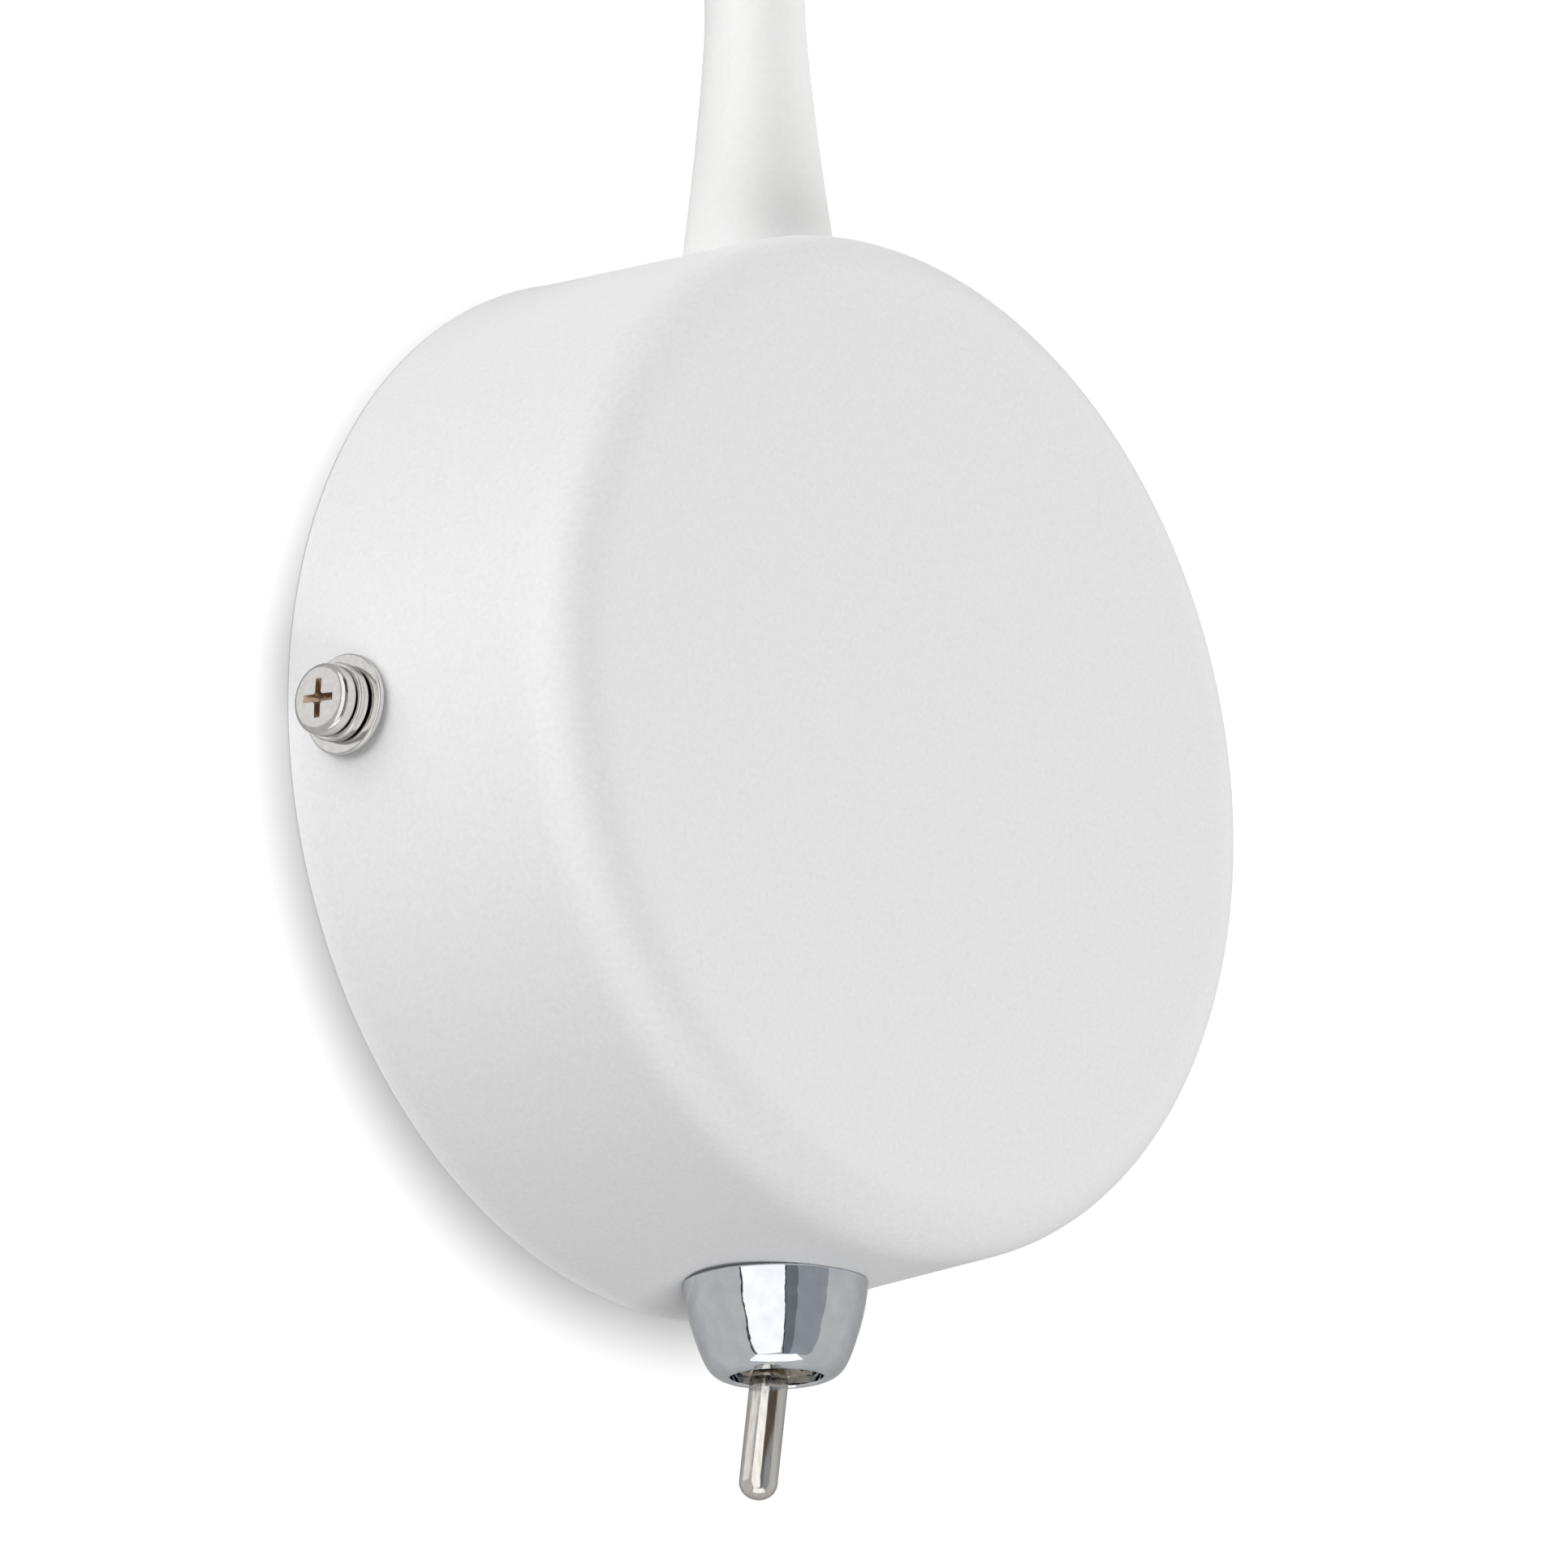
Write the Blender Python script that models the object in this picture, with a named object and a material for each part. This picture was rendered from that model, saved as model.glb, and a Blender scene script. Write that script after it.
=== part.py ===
# Wall light base with a toggle switch, built as an assembly.
# The wall is the plane Y = 0, the front of the base faces -Y and +Z is up.
# The origin is the centre of the wall bracket's back face. Lengths are metres.

import math

import bmesh
import bpy
from mathutils import Matrix, Vector

MM = 0.001
FIT = 0.1 * MM  # between flat faces that are clamped together
GAP = 0.3 * MM  # between pieces that pass through or around each other

# Cover: a drawn steel cup with a slight draft.
COVER_RADIUS = 40.0 * MM
COVER_FRONT_RADIUS = 39.1 * MM
COVER_DEPTH = 27.0 * MM
COVER_WALL = 1.0 * MM
COVER_EDGE = 4.5 * MM
COVER_SEGMENTS = 60

# The switch hangs from the bottom of the cover and the arm stands on its top, on one upright axis.
AXIS_Y = -11.5 * MM
COVER_AXIS_RADIUS = COVER_RADIUS + (COVER_FRONT_RADIUS - COVER_RADIUS) * -AXIS_Y / COVER_DEPTH

# Wall bracket: a pressed crossbar with an ear at each end.
BRACKET_REACH = 38.0 * MM
BRACKET_WIDTH = 16.0 * MM
BRACKET_THICKNESS = 1.5 * MM
BRACKET_BEND = 2.2 * MM  # outer radius of the bend
EAR_WIDTH = 12.0 * MM
EAR_DEPTH = 10.0 * MM
EAR_TRIM = 8.0 * MM  # how far in from the ear's outer face the crossbar is narrowed
SLOT_CENTRE = 27.0 * MM
SLOT_LENGTH = 10.0 * MM
SLOT_WIDTH = 4.4 * MM
BLOCK_HOLE_RADIUS = 1.6 * MM
EARTH_HOLE_RADIUS = 2.0 * MM

# M3 side screws, each with a spring washer and a flat washer.
SIDE_SCREW_Y = -5.9 * MM
SIDE_SCREW_Z = -0.9 * MM
SIDE_SCREW_RADIUS = 1.45 * MM
SIDE_SCREW_TIP = 34.5 * MM
HEAD_RADIUS = 2.7 * MM
HEAD_HEIGHT = 1.4 * MM
HEAD_EDGE = 0.42 * MM  # height of the head's straight side
HEAD_CROWN = 3.9 * MM  # radius of the domed top
RECESS_REACH = 1.6 * MM
RECESS_WIDTH = 0.6 * MM
RECESS_DEPTH = 1.3 * MM
WASHER_RADIUS = 3.8 * MM
WASHER_THICKNESS = 0.5 * MM
SPRING_WASHER_RADIUS = 2.95 * MM
SPRING_WASHER_THICKNESS = 0.8 * MM
SPRING_WASHER_SPLIT = math.radians(14)
SPRING_WASHER_SPREAD = 0.25 * MM
SCREW_HOLE_RADIUS = 1.78 * MM
SIDE_SEAT = 39.95 * MM

# Miniature toggle switch: 13 x 8 mm body, M6 bushing, 2.9 mm lever.
PIVOT_Z = -42.0 * MM
LEVER_TILT = math.radians(10)
LEVER_RADIUS = 1.45 * MM
LEVER_NECK = 1.15 * MM
LEVER_NECK_END = 3.7 * MM
LEVER_SHOULDER = 4.9 * MM
LEVER_TIP = 14.2 * MM
LEVER_TAIL = 4.6 * MM
LEVER_TAIL_RADIUS = 1.4 * MM
LEVER_BORE = 0.95 * MM
BALL_RADIUS = 2.1 * MM
PLUNGER_RADIUS = 0.7 * MM
PLUNGER_START = 3.3 * MM
PLUNGER_END = 8.2 * MM
COIL_TURNS = 4
COIL_START = 0.65 * MM
COIL_END = 2.95 * MM
COIL_RADIUS = 0.55 * MM
COIL_WIRE = 0.13 * MM
NUT_RIM_Z = -39.23 * MM
NUT_HEIGHT = 7.3 * MM
NUT_MOUTH = 3.5 * MM
NUT_MOUTH_DEPTH = 1.3 * MM
NUT_SIDE = [(7.0, 0), (6.58, 2.5), (5.78, 5.1), (5.15, 6.45), (4.0, 7.3)]  # radius and drop in mm
NUT_SEAT_RADIUS = 4.4 * MM
NUT_SEAT_DEPTH = 1.2 * MM
BUSHING_RADIUS = 2.95 * MM
BUSHING_BORE = 2.45 * MM
BUSHING_THROAT = 1.75 * MM
BUSHING_END_Z = -45.98 * MM
FLANGE_RADIUS = 3.6 * MM
FLANGE_THICKNESS = 0.8 * MM
LOCK_WASHER_RADIUS = 5.5 * MM
LOCK_WASHER_THICKNESS = 0.4 * MM
LOCK_WASHER_Z = -37.95 * MM
LOCK_TOOTH_COUNT = 8
LOCK_TOOTH_TIP = 3.3 * MM
LOCK_TOOTH_ROOT = 4.2 * MM
FRAME_Z = -37.3 * MM
FRAME_THICKNESS = 0.4 * MM
FRAME_WIDTH = 7.0 * MM
FRAME_REACH = 6.9 * MM
FRAME_TOP_Z = -27.4 * MM
WINDOW_LOW_Z = -32.2 * MM
WINDOW_HIGH_Z = -29.6 * MM
WINDOW_WIDTH = 3.4 * MM
SNAP_REACH = 6.5 * MM
CASE_BOTTOM_Z = -35.5 * MM
CASE_TOP_Z = -26.8 * MM
CASE_LENGTH = 12.4 * MM
CASE_WIDTH = 8.0 * MM
CASE_WALL = 1.0 * MM
CASE_ROOF = 1.5 * MM
ROCKER_Z = -33.1 * MM
ROCKER_TILT = math.radians(8)
ROCKER_LENGTH = 8.8 * MM
ROCKER_WIDTH = 3.0 * MM
ROCKER_THICKNESS = 0.5 * MM
TERMINAL_PITCH = 4.7 * MM
TERMINAL_WIDTH = 2.0 * MM
TERMINAL_THICKNESS = 0.8 * MM
TERMINAL_TOP_Z = -22.3 * MM
LOAD_CONTACT_Z = -32.15 * MM
SHRINK_RADIUS = 1.85 * MM
SHRINK_BORE = 1.5 * MM
SHRINK_TAPER = 0.15 * MM
SHRINK_LENGTH = 6.0 * MM

# Arm: a gooseneck core on an M8 nipple, in a flared silicone sleeve, with an end ferrule.
SLEEVE_RADIUS = 3.87 * MM
SLEEVE_FOOT = 5.98 * MM
SLEEVE_FLARE = 19.8 * MM
SLEEVE_FLARE_POWER = 1.3
SLEEVE_TOP = 26.0 * MM
SLEEVE_BELOW = -1.2 * MM  # the foot follows the drum's curve down to here at its sides
SLEEVE_SOCKET_RADIUS = 4.3 * MM
SLEEVE_STEP = 2.6 * MM
CORE_RADIUS = 3.0 * MM
CORE_BORE = 2.2 * MM
CORE_START = 1.2 * MM
NIPPLE_RADIUS = 3.9 * MM
NIPPLE_BORE = 2.4 * MM
NIPPLE_BOTTOM_Z = 30.5 * MM
NIPPLE_FLANGE = 4.9 * MM
NIPPLE_FLANGE_LOW = 0.35 * MM
NIPPLE_FLANGE_TOP = 2.2 * MM
NIPPLE_SOCKET_RADIUS = 4.0 * MM
NIPPLE_SOCKET_TOP = 5.5 * MM
NIPPLE_WASHER_RADIUS = 6.5 * MM
NIPPLE_WASHER_Z = 37.2 * MM
NIPPLE_NUT_RADIUS = 7.5 * MM  # to the corners
NIPPLE_NUT_HEIGHT = 3.0 * MM
NIPPLE_NUT_Z = 33.0 * MM
TAG_X = -9.6 * MM
TAG_RADIUS = 6.4 * MM
TAG_THICKNESS = 0.6 * MM
TAG_Z = 36.3 * MM
TAG_BARREL_Z = 29.6 * MM
TAG_BARREL_LENGTH = 7.0 * MM
FERRULE_BOTTOM = 26.3 * MM
FERRULE_SHOULDER = 30.5 * MM
FERRULE_TOP = 37.0 * MM
FERRULE_COLLAR = 5.5 * MM
FERRULE_THREAD = 3.9 * MM
ARM_TAIL = 10.0 * MM

# Terminal block on the bracket, two poles.
BLOCK_X = 9.0 * MM
BLOCK_LENGTH = 21.0 * MM
BLOCK_HEIGHT = 14.0 * MM
BLOCK_BACK_Y = -1.8 * MM
BLOCK_FRONT_Y = -15.0 * MM
POLE_OFFSET = 5.0 * MM
POLE_Y = -6.8 * MM
CLAMP_RADIUS = 2.2 * MM
CLAMP_BORE = 1.5 * MM
CLAMP_LENGTH = 12.0 * MM
CLAMP_SCREW_OFFSET = 3.4 * MM
CLAMP_SCREW_RADIUS = 1.2 * MM
CLAMP_SCREW_LENGTH = 5.0 * MM
TOWER_WIDTH = 5.6 * MM
TOWER_RISE = 3.0 * MM  # the towers stand this far in front of the block's middle
BLOCK_SCREW_RADIUS = 1.3 * MM

# Earth screw on the bracket, and wiring.
EARTH_X = -12.0 * MM
LUG_RADIUS = 3.8 * MM
LUG_THICKNESS = 0.8 * MM
LUG_BARREL_LENGTH = 6.0 * MM
BARREL_RADIUS = 1.4 * MM
EARTH_WASHER_RADIUS = 3.5 * MM
EARTH_WASHER_THICKNESS = 0.5 * MM
EARTH_SCREW_RADIUS = 1.7 * MM
EARTH_HEAD_RADIUS = 3.3 * MM
LEAD_RADIUS = 0.8 * MM
LEAD_OFFSET = 0.95 * MM


# ---- shared helpers -------------------------------------------------------------------------


def clear_scene():
    for obj in list(bpy.data.objects):
        bpy.data.objects.remove(obj, do_unlink=True)


def material(name, colour, roughness, metallic=0.0):
    made = bpy.data.materials.new(name)
    made.use_nodes = True
    shader = made.node_tree.nodes["Principled BSDF"]
    shader.inputs["Base Color"].default_value = (*colour, 1.0)
    shader.inputs["Roughness"].default_value = roughness
    shader.inputs["Metallic"].default_value = metallic
    return made


def place(obj, location=(0, 0, 0), rotation=(0, 0, 0), parent=None):
    obj.location = location
    obj.rotation_euler = rotation
    obj.parent = parent
    return obj


def add_mesh(name, bm, finish, smooth=True):
    bmesh.ops.recalc_face_normals(bm, faces=bm.faces)
    mesh = bpy.data.meshes.new(name)
    bm.to_mesh(mesh)
    bm.free()
    if smooth:
        mesh.shade_smooth()
        mesh.set_sharp_from_angle(angle=math.radians(35))
    obj = bpy.data.objects.new(name, mesh)
    bpy.context.scene.collection.objects.link(obj)
    if finish:
        mesh.materials.append(finish)
    return obj


def turned(name, outline, finish, segments=24):
    """Turns a closed outline of (radius, height) points about Z. A radius of 0 is a pole."""
    bm = bmesh.new()
    rings = []
    for radius, height in outline:
        if radius < 1e-9:
            rings.append([bm.verts.new((0, 0, height))])
            continue
        angles = (2 * math.pi * step / segments for step in range(segments))
        rings.append([bm.verts.new((radius * math.cos(a), radius * math.sin(a), height)) for a in angles])
    for low, high in zip(rings, rings[1:] + rings[:1]):
        if len(low) == len(high) == 1:
            continue
        for step in range(segments):
            after = (step + 1) % segments
            if len(low) == 1:
                bm.faces.new((low[0], high[step], high[after]))
            elif len(high) == 1:
                bm.faces.new((low[step], low[after], high[0]))
            else:
                bm.faces.new((low[step], low[after], high[after], high[step]))
    return add_mesh(name, bm, finish)


def extruded(name, outline, depth, finish, taper=1.0):
    """Extrudes a flat outline of (x, y) points along Z, from 0 to depth."""
    bm = bmesh.new()
    base = [bm.verts.new((x, y, 0)) for x, y in outline]
    top = [bm.verts.new((x * taper, y * taper, depth)) for x, y in outline]
    bm.faces.new(base)
    bm.faces.new(top)
    for index in range(len(base)):
        after = (index + 1) % len(base)
        bm.faces.new((base[index], base[after], top[after], top[index]))
    return add_mesh(name, bm, finish, smooth=False)


def box(name, low, high, finish=None):
    bm = bmesh.new()
    size = Vector(high) - Vector(low)
    centre = (Vector(high) + Vector(low)) / 2
    bmesh.ops.create_cube(bm, size=1, matrix=Matrix.Translation(centre) @ Matrix.Diagonal((*size, 1)))
    return add_mesh(name, bm, finish, smooth=False)


def polygon(radius, sides):
    """Outline of a regular polygon, with the radius measured to its corners."""
    angles = [2 * math.pi * step / sides for step in range(sides)]
    return [(radius * math.cos(a), radius * math.sin(a)) for a in angles]


def tube(bore, radius, low, high):
    """Outline of a plain tube, to be turned. A bore of 0 makes a disc or a rod."""
    return [(bore, low), (radius, low), (radius, high), (bore, high)]


def stadium(length, width, segments=8):
    """Outline of a slot with round ends, along X."""
    reach = (length - width) / 2
    points = []
    for side, start in ((1, -math.pi / 2), (-1, math.pi / 2)):
        for step in range(segments + 1):
            angle = start + math.pi * step / segments
            points.append((side * reach + width / 2 * math.cos(angle), width / 2 * math.sin(angle)))
    return points


def arc(centre, radius, start, end, steps):
    """Points of an arc between two angles in degrees."""
    found = []
    for step in range(steps + 1):
        angle = math.radians(start + (end - start) * step / steps)
        found.append((centre[0] + radius * math.cos(angle), centre[1] + radius * math.sin(angle)))
    return found


def smooth_route(points, steps):
    """Points along the smooth curve that passes through all of the given ones."""
    ends = [2 * Vector(points[0]) - Vector(points[1]), 2 * Vector(points[-1]) - Vector(points[-2])]
    line = [ends[0], *map(Vector, points), ends[1]]
    found = []
    for before, start, end, after in zip(line, line[1:], line[2:], line[3:]):
        reach = (end - start).length
        leave = (end - before).normalized() * reach
        arrive = (after - start).normalized() * reach
        for step in range(steps):
            t = step / steps
            found.append(
                (2 * t**3 - 3 * t**2 + 1) * start
                + (t**3 - 2 * t**2 + t) * leave
                + (3 * t**2 - 2 * t**3) * end
                + (t**3 - t**2) * arrive
            )
    return found + [Vector(points[-1])]


def round_wire(name, points, radius, finish, resolution=2):
    """A round wire along the points, closed at both ends."""
    curve = bpy.data.curves.new(name, "CURVE")
    curve.dimensions = "3D"
    curve.bevel_depth = radius
    curve.bevel_resolution = resolution
    curve.use_fill_caps = True
    spline = curve.splines.new("POLY")
    spline.points.add(len(points) - 1)
    for point, place_at in zip(spline.points, points):
        point.co = (*place_at, 1)
    curve.materials.append(finish)
    obj = bpy.data.objects.new(name, curve)
    bpy.context.scene.collection.objects.link(obj)
    return obj


def combine(obj, other, operation="DIFFERENCE"):
    """Cuts the helper out of the object, or joins it on, and hides the helper."""
    other.hide_render = True
    other.display_type = "WIRE"
    modifier = obj.modifiers.new(other.name, "BOOLEAN")
    modifier.operation = operation
    modifier.solver = "EXACT"
    modifier.object = other


def drill(obj, name, centre, direction, radius, length, segments=24):
    """Cuts a round hole of the given length, centred on a point, along X, Y or Z."""
    cutter = turned(name, tube(0, radius, -length / 2, length / 2), None, segments)
    turns = {"X": (0, math.pi / 2, 0), "Y": (math.pi / 2, 0, 0), "Z": (0, 0, 0)}
    place(cutter, centre, turns[direction])
    combine(obj, cutter)


def cross_outline(reach, width):
    """Outline of a plus sign, for a cross recess."""
    half = width / 2
    quarter = [(reach, -half), (reach, half), (half, half)]
    points = []
    for turn in range(4):
        angle = turn * math.pi / 2
        for x, y in quarter:
            across = x * math.cos(angle) - y * math.sin(angle)
            points.append((across, x * math.sin(angle) + y * math.cos(angle)))
    return points


# ---- cover and wall bracket -----------------------------------------------------------------


def cover_outline(offset=0.0):
    """Outer side of the cover from the wall to its front, moved out by the offset."""
    edge_centre = (COVER_FRONT_RADIUS - COVER_EDGE, COVER_DEPTH - COVER_EDGE)
    rounded = arc(edge_centre, COVER_EDGE + offset, 2, 90, 7)
    return [(COVER_RADIUS + offset, 0), *rounded, (0, COVER_DEPTH + offset)]


def make_cover(finish):
    inside = cover_outline(-COVER_WALL)[::-1]
    cover = turned("cover", cover_outline() + inside, finish, COVER_SEGMENTS)
    place(cover, rotation=(math.pi / 2, 0, 0))
    wall = 8 * MM
    drill(cover, "switch_hole", (0, AXIS_Y, -COVER_RADIUS), "Z", BUSHING_RADIUS + GAP, wall)
    drill(cover, "arm_hole", (0, AXIS_Y, COVER_RADIUS), "Z", NIPPLE_RADIUS + GAP, wall)
    for side, name in ((-1, "left"), (1, "right")):
        centre = (side * COVER_RADIUS, SIDE_SCREW_Y, SIDE_SCREW_Z)
        drill(cover, f"{name}_screw_hole", centre, "X", SCREW_HOLE_RADIUS, wall, 16)


def make_bracket(finish):
    inner = BRACKET_BEND - BRACKET_THICKNESS
    corner = (BRACKET_REACH - BRACKET_BEND, -BRACKET_BEND)
    right = [(BRACKET_REACH - BRACKET_BEND, 0), *arc(corner, BRACKET_BEND, 90, 0, 5)[1:]]
    right += [(BRACKET_REACH, -EAR_DEPTH), (BRACKET_REACH - BRACKET_THICKNESS, -EAR_DEPTH)]
    right += arc(corner, inner, 0, 90, 5)
    left = [(-x, y) for x, y in right[::-1]]
    bracket = extruded("wall_bracket", right + left, BRACKET_WIDTH, finish)
    place(bracket, (0, 0, -BRACKET_WIDTH / 2))
    trim_start = BRACKET_REACH - EAR_TRIM
    for side in (-1, 1):
        for level in (-1, 1):
            corner_low = (trim_start, -EAR_DEPTH - 1 * MM, EAR_WIDTH / 2)
            corner_high = (BRACKET_REACH + 1 * MM, 1 * MM, BRACKET_WIDTH)
            trim = box(f"ear_trim_{side}_{level}", corner_low, corner_high)
            trim.data.transform(Matrix.Diagonal((side, 1, level, 1)))
            if side * level < 0:
                trim.data.flip_normals()
            combine(bracket, trim)
        slot = extruded(f"wall_slot_{side}", stadium(SLOT_LENGTH, SLOT_WIDTH), 6 * MM, None)
        place(slot, (side * SLOT_CENTRE, 3 * MM, 0), (math.pi / 2, 0, 0))
        combine(bracket, slot)
        ear = (side * BRACKET_REACH, SIDE_SCREW_Y, SIDE_SCREW_Z)
        drill(bracket, f"ear_hole_{side}", ear, "X", SCREW_HOLE_RADIUS, 8 * MM, 16)
    through = 4 * BRACKET_THICKNESS
    drill(bracket, "block_hole", (BLOCK_X, 0, 0), "Y", BLOCK_HOLE_RADIUS, through, 16)
    drill(bracket, "earth_hole", (EARTH_X, 0, 0), "Y", EARTH_HOLE_RADIUS, through, 16)


def make_side_fastener(side, name, steel):
    """The screw and its two washers. Local Z points outwards from the cover."""
    outwards = (0, side * math.pi / 2, 0)
    washer_end = SIDE_SEAT + WASHER_THICKNESS
    spring_start = washer_end + FIT
    spring_end = spring_start + SPRING_WASHER_THICKNESS
    head_start = spring_end + FIT + SPRING_WASHER_SPREAD

    ring = tube(SIDE_SCREW_RADIUS + GAP, WASHER_RADIUS, 0, WASHER_THICKNESS)
    washer = turned(f"flat_washer_{name}", ring, steel, 28)
    place(washer, (side * SIDE_SEAT, SIDE_SCREW_Y, SIDE_SCREW_Z), outwards)

    spring_washer = make_spring_washer(f"spring_washer_{name}", steel)
    place(spring_washer, (side * spring_start, SIDE_SCREW_Y, SIDE_SCREW_Z), outwards)

    shank = head_start - SIDE_SCREW_TIP
    crown = arc((0, HEAD_HEIGHT - HEAD_CROWN), HEAD_CROWN, 55, 90, 3)
    outline = [(0, -shank), (SIDE_SCREW_RADIUS, -shank), (SIDE_SCREW_RADIUS, 0), (HEAD_RADIUS, 0)]
    outline += [(HEAD_RADIUS, HEAD_EDGE), *crown[:-1], (0, HEAD_HEIGHT)]
    screw = turned(f"side_screw_{name}", outline, steel, 20)
    place(screw, (side * head_start, SIDE_SCREW_Y, SIDE_SCREW_Z), outwards)
    cross = cross_outline(RECESS_REACH, RECESS_WIDTH)
    recess = extruded(f"cross_recess_{name}", cross, -RECESS_DEPTH, None, 0.5)
    recess_x = side * (head_start + HEAD_HEIGHT + 0.05 * MM)
    place(recess, (recess_x, SIDE_SCREW_Y, SIDE_SCREW_Z), outwards)
    combine(screw, recess)


def make_spring_washer(name, finish):
    """A ring of square section, cut through and sprung a little apart."""
    inner = SIDE_SCREW_RADIUS + GAP
    outer = SPRING_WASHER_RADIUS
    steps = 18
    bm = bmesh.new()
    rings = []
    for step in range(steps + 1):
        share = step / steps
        angle = SPRING_WASHER_SPLIT / 2 + (2 * math.pi - SPRING_WASHER_SPLIT) * share
        low = SPRING_WASHER_SPREAD * share
        corners = tube(inner, outer, low, low + SPRING_WASHER_THICKNESS)
        rings.append([bm.verts.new((r * math.cos(angle), r * math.sin(angle), z)) for r, z in corners])
    for ring, following in zip(rings, rings[1:]):
        for index in range(4):
            after = (index + 1) % 4
            bm.faces.new((ring[index], ring[after], following[after], following[index]))
    bm.faces.new(rings[0])
    bm.faces.new(rings[-1])
    return add_mesh(name, bm, finish)


# ---- toggle switch --------------------------------------------------------------------------


def make_dress_nut(finish):
    """The tapered nut on the bushing, with its base cut to the drum's curve."""
    side = smooth_route([Vector((radius, -drop, 0)) * MM for radius, drop in NUT_SIDE], 3)
    bore = BUSHING_RADIUS + GAP
    thread_end = NUT_HEIGHT - NUT_MOUTH_DEPTH
    outline = [(point.x, point.y) for point in side]
    outline += [(NUT_MOUTH, -NUT_HEIGHT + 0.3 * MM), (NUT_MOUTH, -thread_end)]
    outline += [(bore, -thread_end + 0.25 * MM)]
    outline += [(bore, -NUT_SEAT_DEPTH), (NUT_SEAT_RADIUS, -NUT_SEAT_DEPTH), (NUT_SEAT_RADIUS, 0)]
    nut = turned("dress_nut", outline, finish, 30)
    place(nut, (0, AXIS_Y, NUT_RIM_Z))
    saddle = turned("nut_saddle", [(0, 0), *cover_outline(FIT)], None, 96)
    place(saddle, rotation=(math.pi / 2, 0, 0))
    combine(nut, saddle)


def make_bushing(finish):
    """The threaded neck, dished inside for the lever's ball. Heights are measured from the pivot."""
    flange_low = FRAME_Z + FRAME_THICKNESS + GAP - PIVOT_Z
    flange_high = flange_low + FLANGE_THICKNESS
    mouth = BUSHING_END_Z - PIVOT_Z
    dish = BUSHING_BORE - 0.05 * MM
    middle = (dish + BUSHING_THROAT) / 2
    outline = [(BUSHING_BORE, flange_high), (BUSHING_BORE, 0), (dish, -0.1 * MM)]
    outline += [(radius, -math.sqrt(dish**2 - radius**2)) for radius in (middle, BUSHING_THROAT)]
    outline += [(BUSHING_BORE, mouth), (BUSHING_RADIUS, mouth), (BUSHING_RADIUS, flange_low)]
    outline += [(FLANGE_RADIUS, flange_low), (FLANGE_RADIUS, flange_high)]
    place(turned("switch_bushing", outline, finish), (0, AXIS_Y, PIVOT_Z))


def make_lock_washer(finish):
    """A washer with teeth around its hole."""
    washer = turned("lock_washer", tube(0, LOCK_WASHER_RADIUS, 0, LOCK_WASHER_THICKNESS), finish, 28)
    place(washer, (0, AXIS_Y, LOCK_WASHER_Z))
    points_per_tooth = 5
    count = LOCK_TOOTH_COUNT * points_per_tooth
    outline = []
    for step in range(count):
        angle = 2 * math.pi * step / count
        radius = LOCK_TOOTH_TIP if step % points_per_tooth in (0, 1) else LOCK_TOOTH_ROOT
        outline.append((radius * math.cos(angle), radius * math.sin(angle)))
    hole = extruded("lock_washer_hole", outline, 4 * LOCK_WASHER_THICKNESS, None)
    place(hole, (0, AXIS_Y, LOCK_WASHER_Z - LOCK_WASHER_THICKNESS))
    combine(washer, hole)


def make_switch_frame(finish):
    """The strap that the bushing is fixed to. Its legs snap over the case."""
    inner = FRAME_REACH - FRAME_THICKNESS
    inside = FRAME_Z + FRAME_THICKNESS
    outline = [(-FRAME_REACH, FRAME_Z), (FRAME_REACH, FRAME_Z), (FRAME_REACH, FRAME_TOP_Z)]
    outline += [(inner, FRAME_TOP_Z), (inner, inside), (-inner, inside)]
    outline += [(-inner, FRAME_TOP_Z), (-FRAME_REACH, FRAME_TOP_Z)]
    frame = extruded("switch_frame", outline, FRAME_WIDTH, finish)
    place(frame, (0, AXIS_Y + FRAME_WIDTH / 2, 0), (math.pi / 2, 0, 0))
    drill(frame, "frame_hole", (0, AXIS_Y, FRAME_Z), "Z", BUSHING_RADIUS + GAP, 3 * MM, 20)
    window_low = (-FRAME_REACH - 1 * MM, AXIS_Y - WINDOW_WIDTH / 2, WINDOW_LOW_Z)
    window_high = (FRAME_REACH + 1 * MM, AXIS_Y + WINDOW_WIDTH / 2, WINDOW_HIGH_Z)
    combine(frame, box("frame_window", window_low, window_high))


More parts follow.
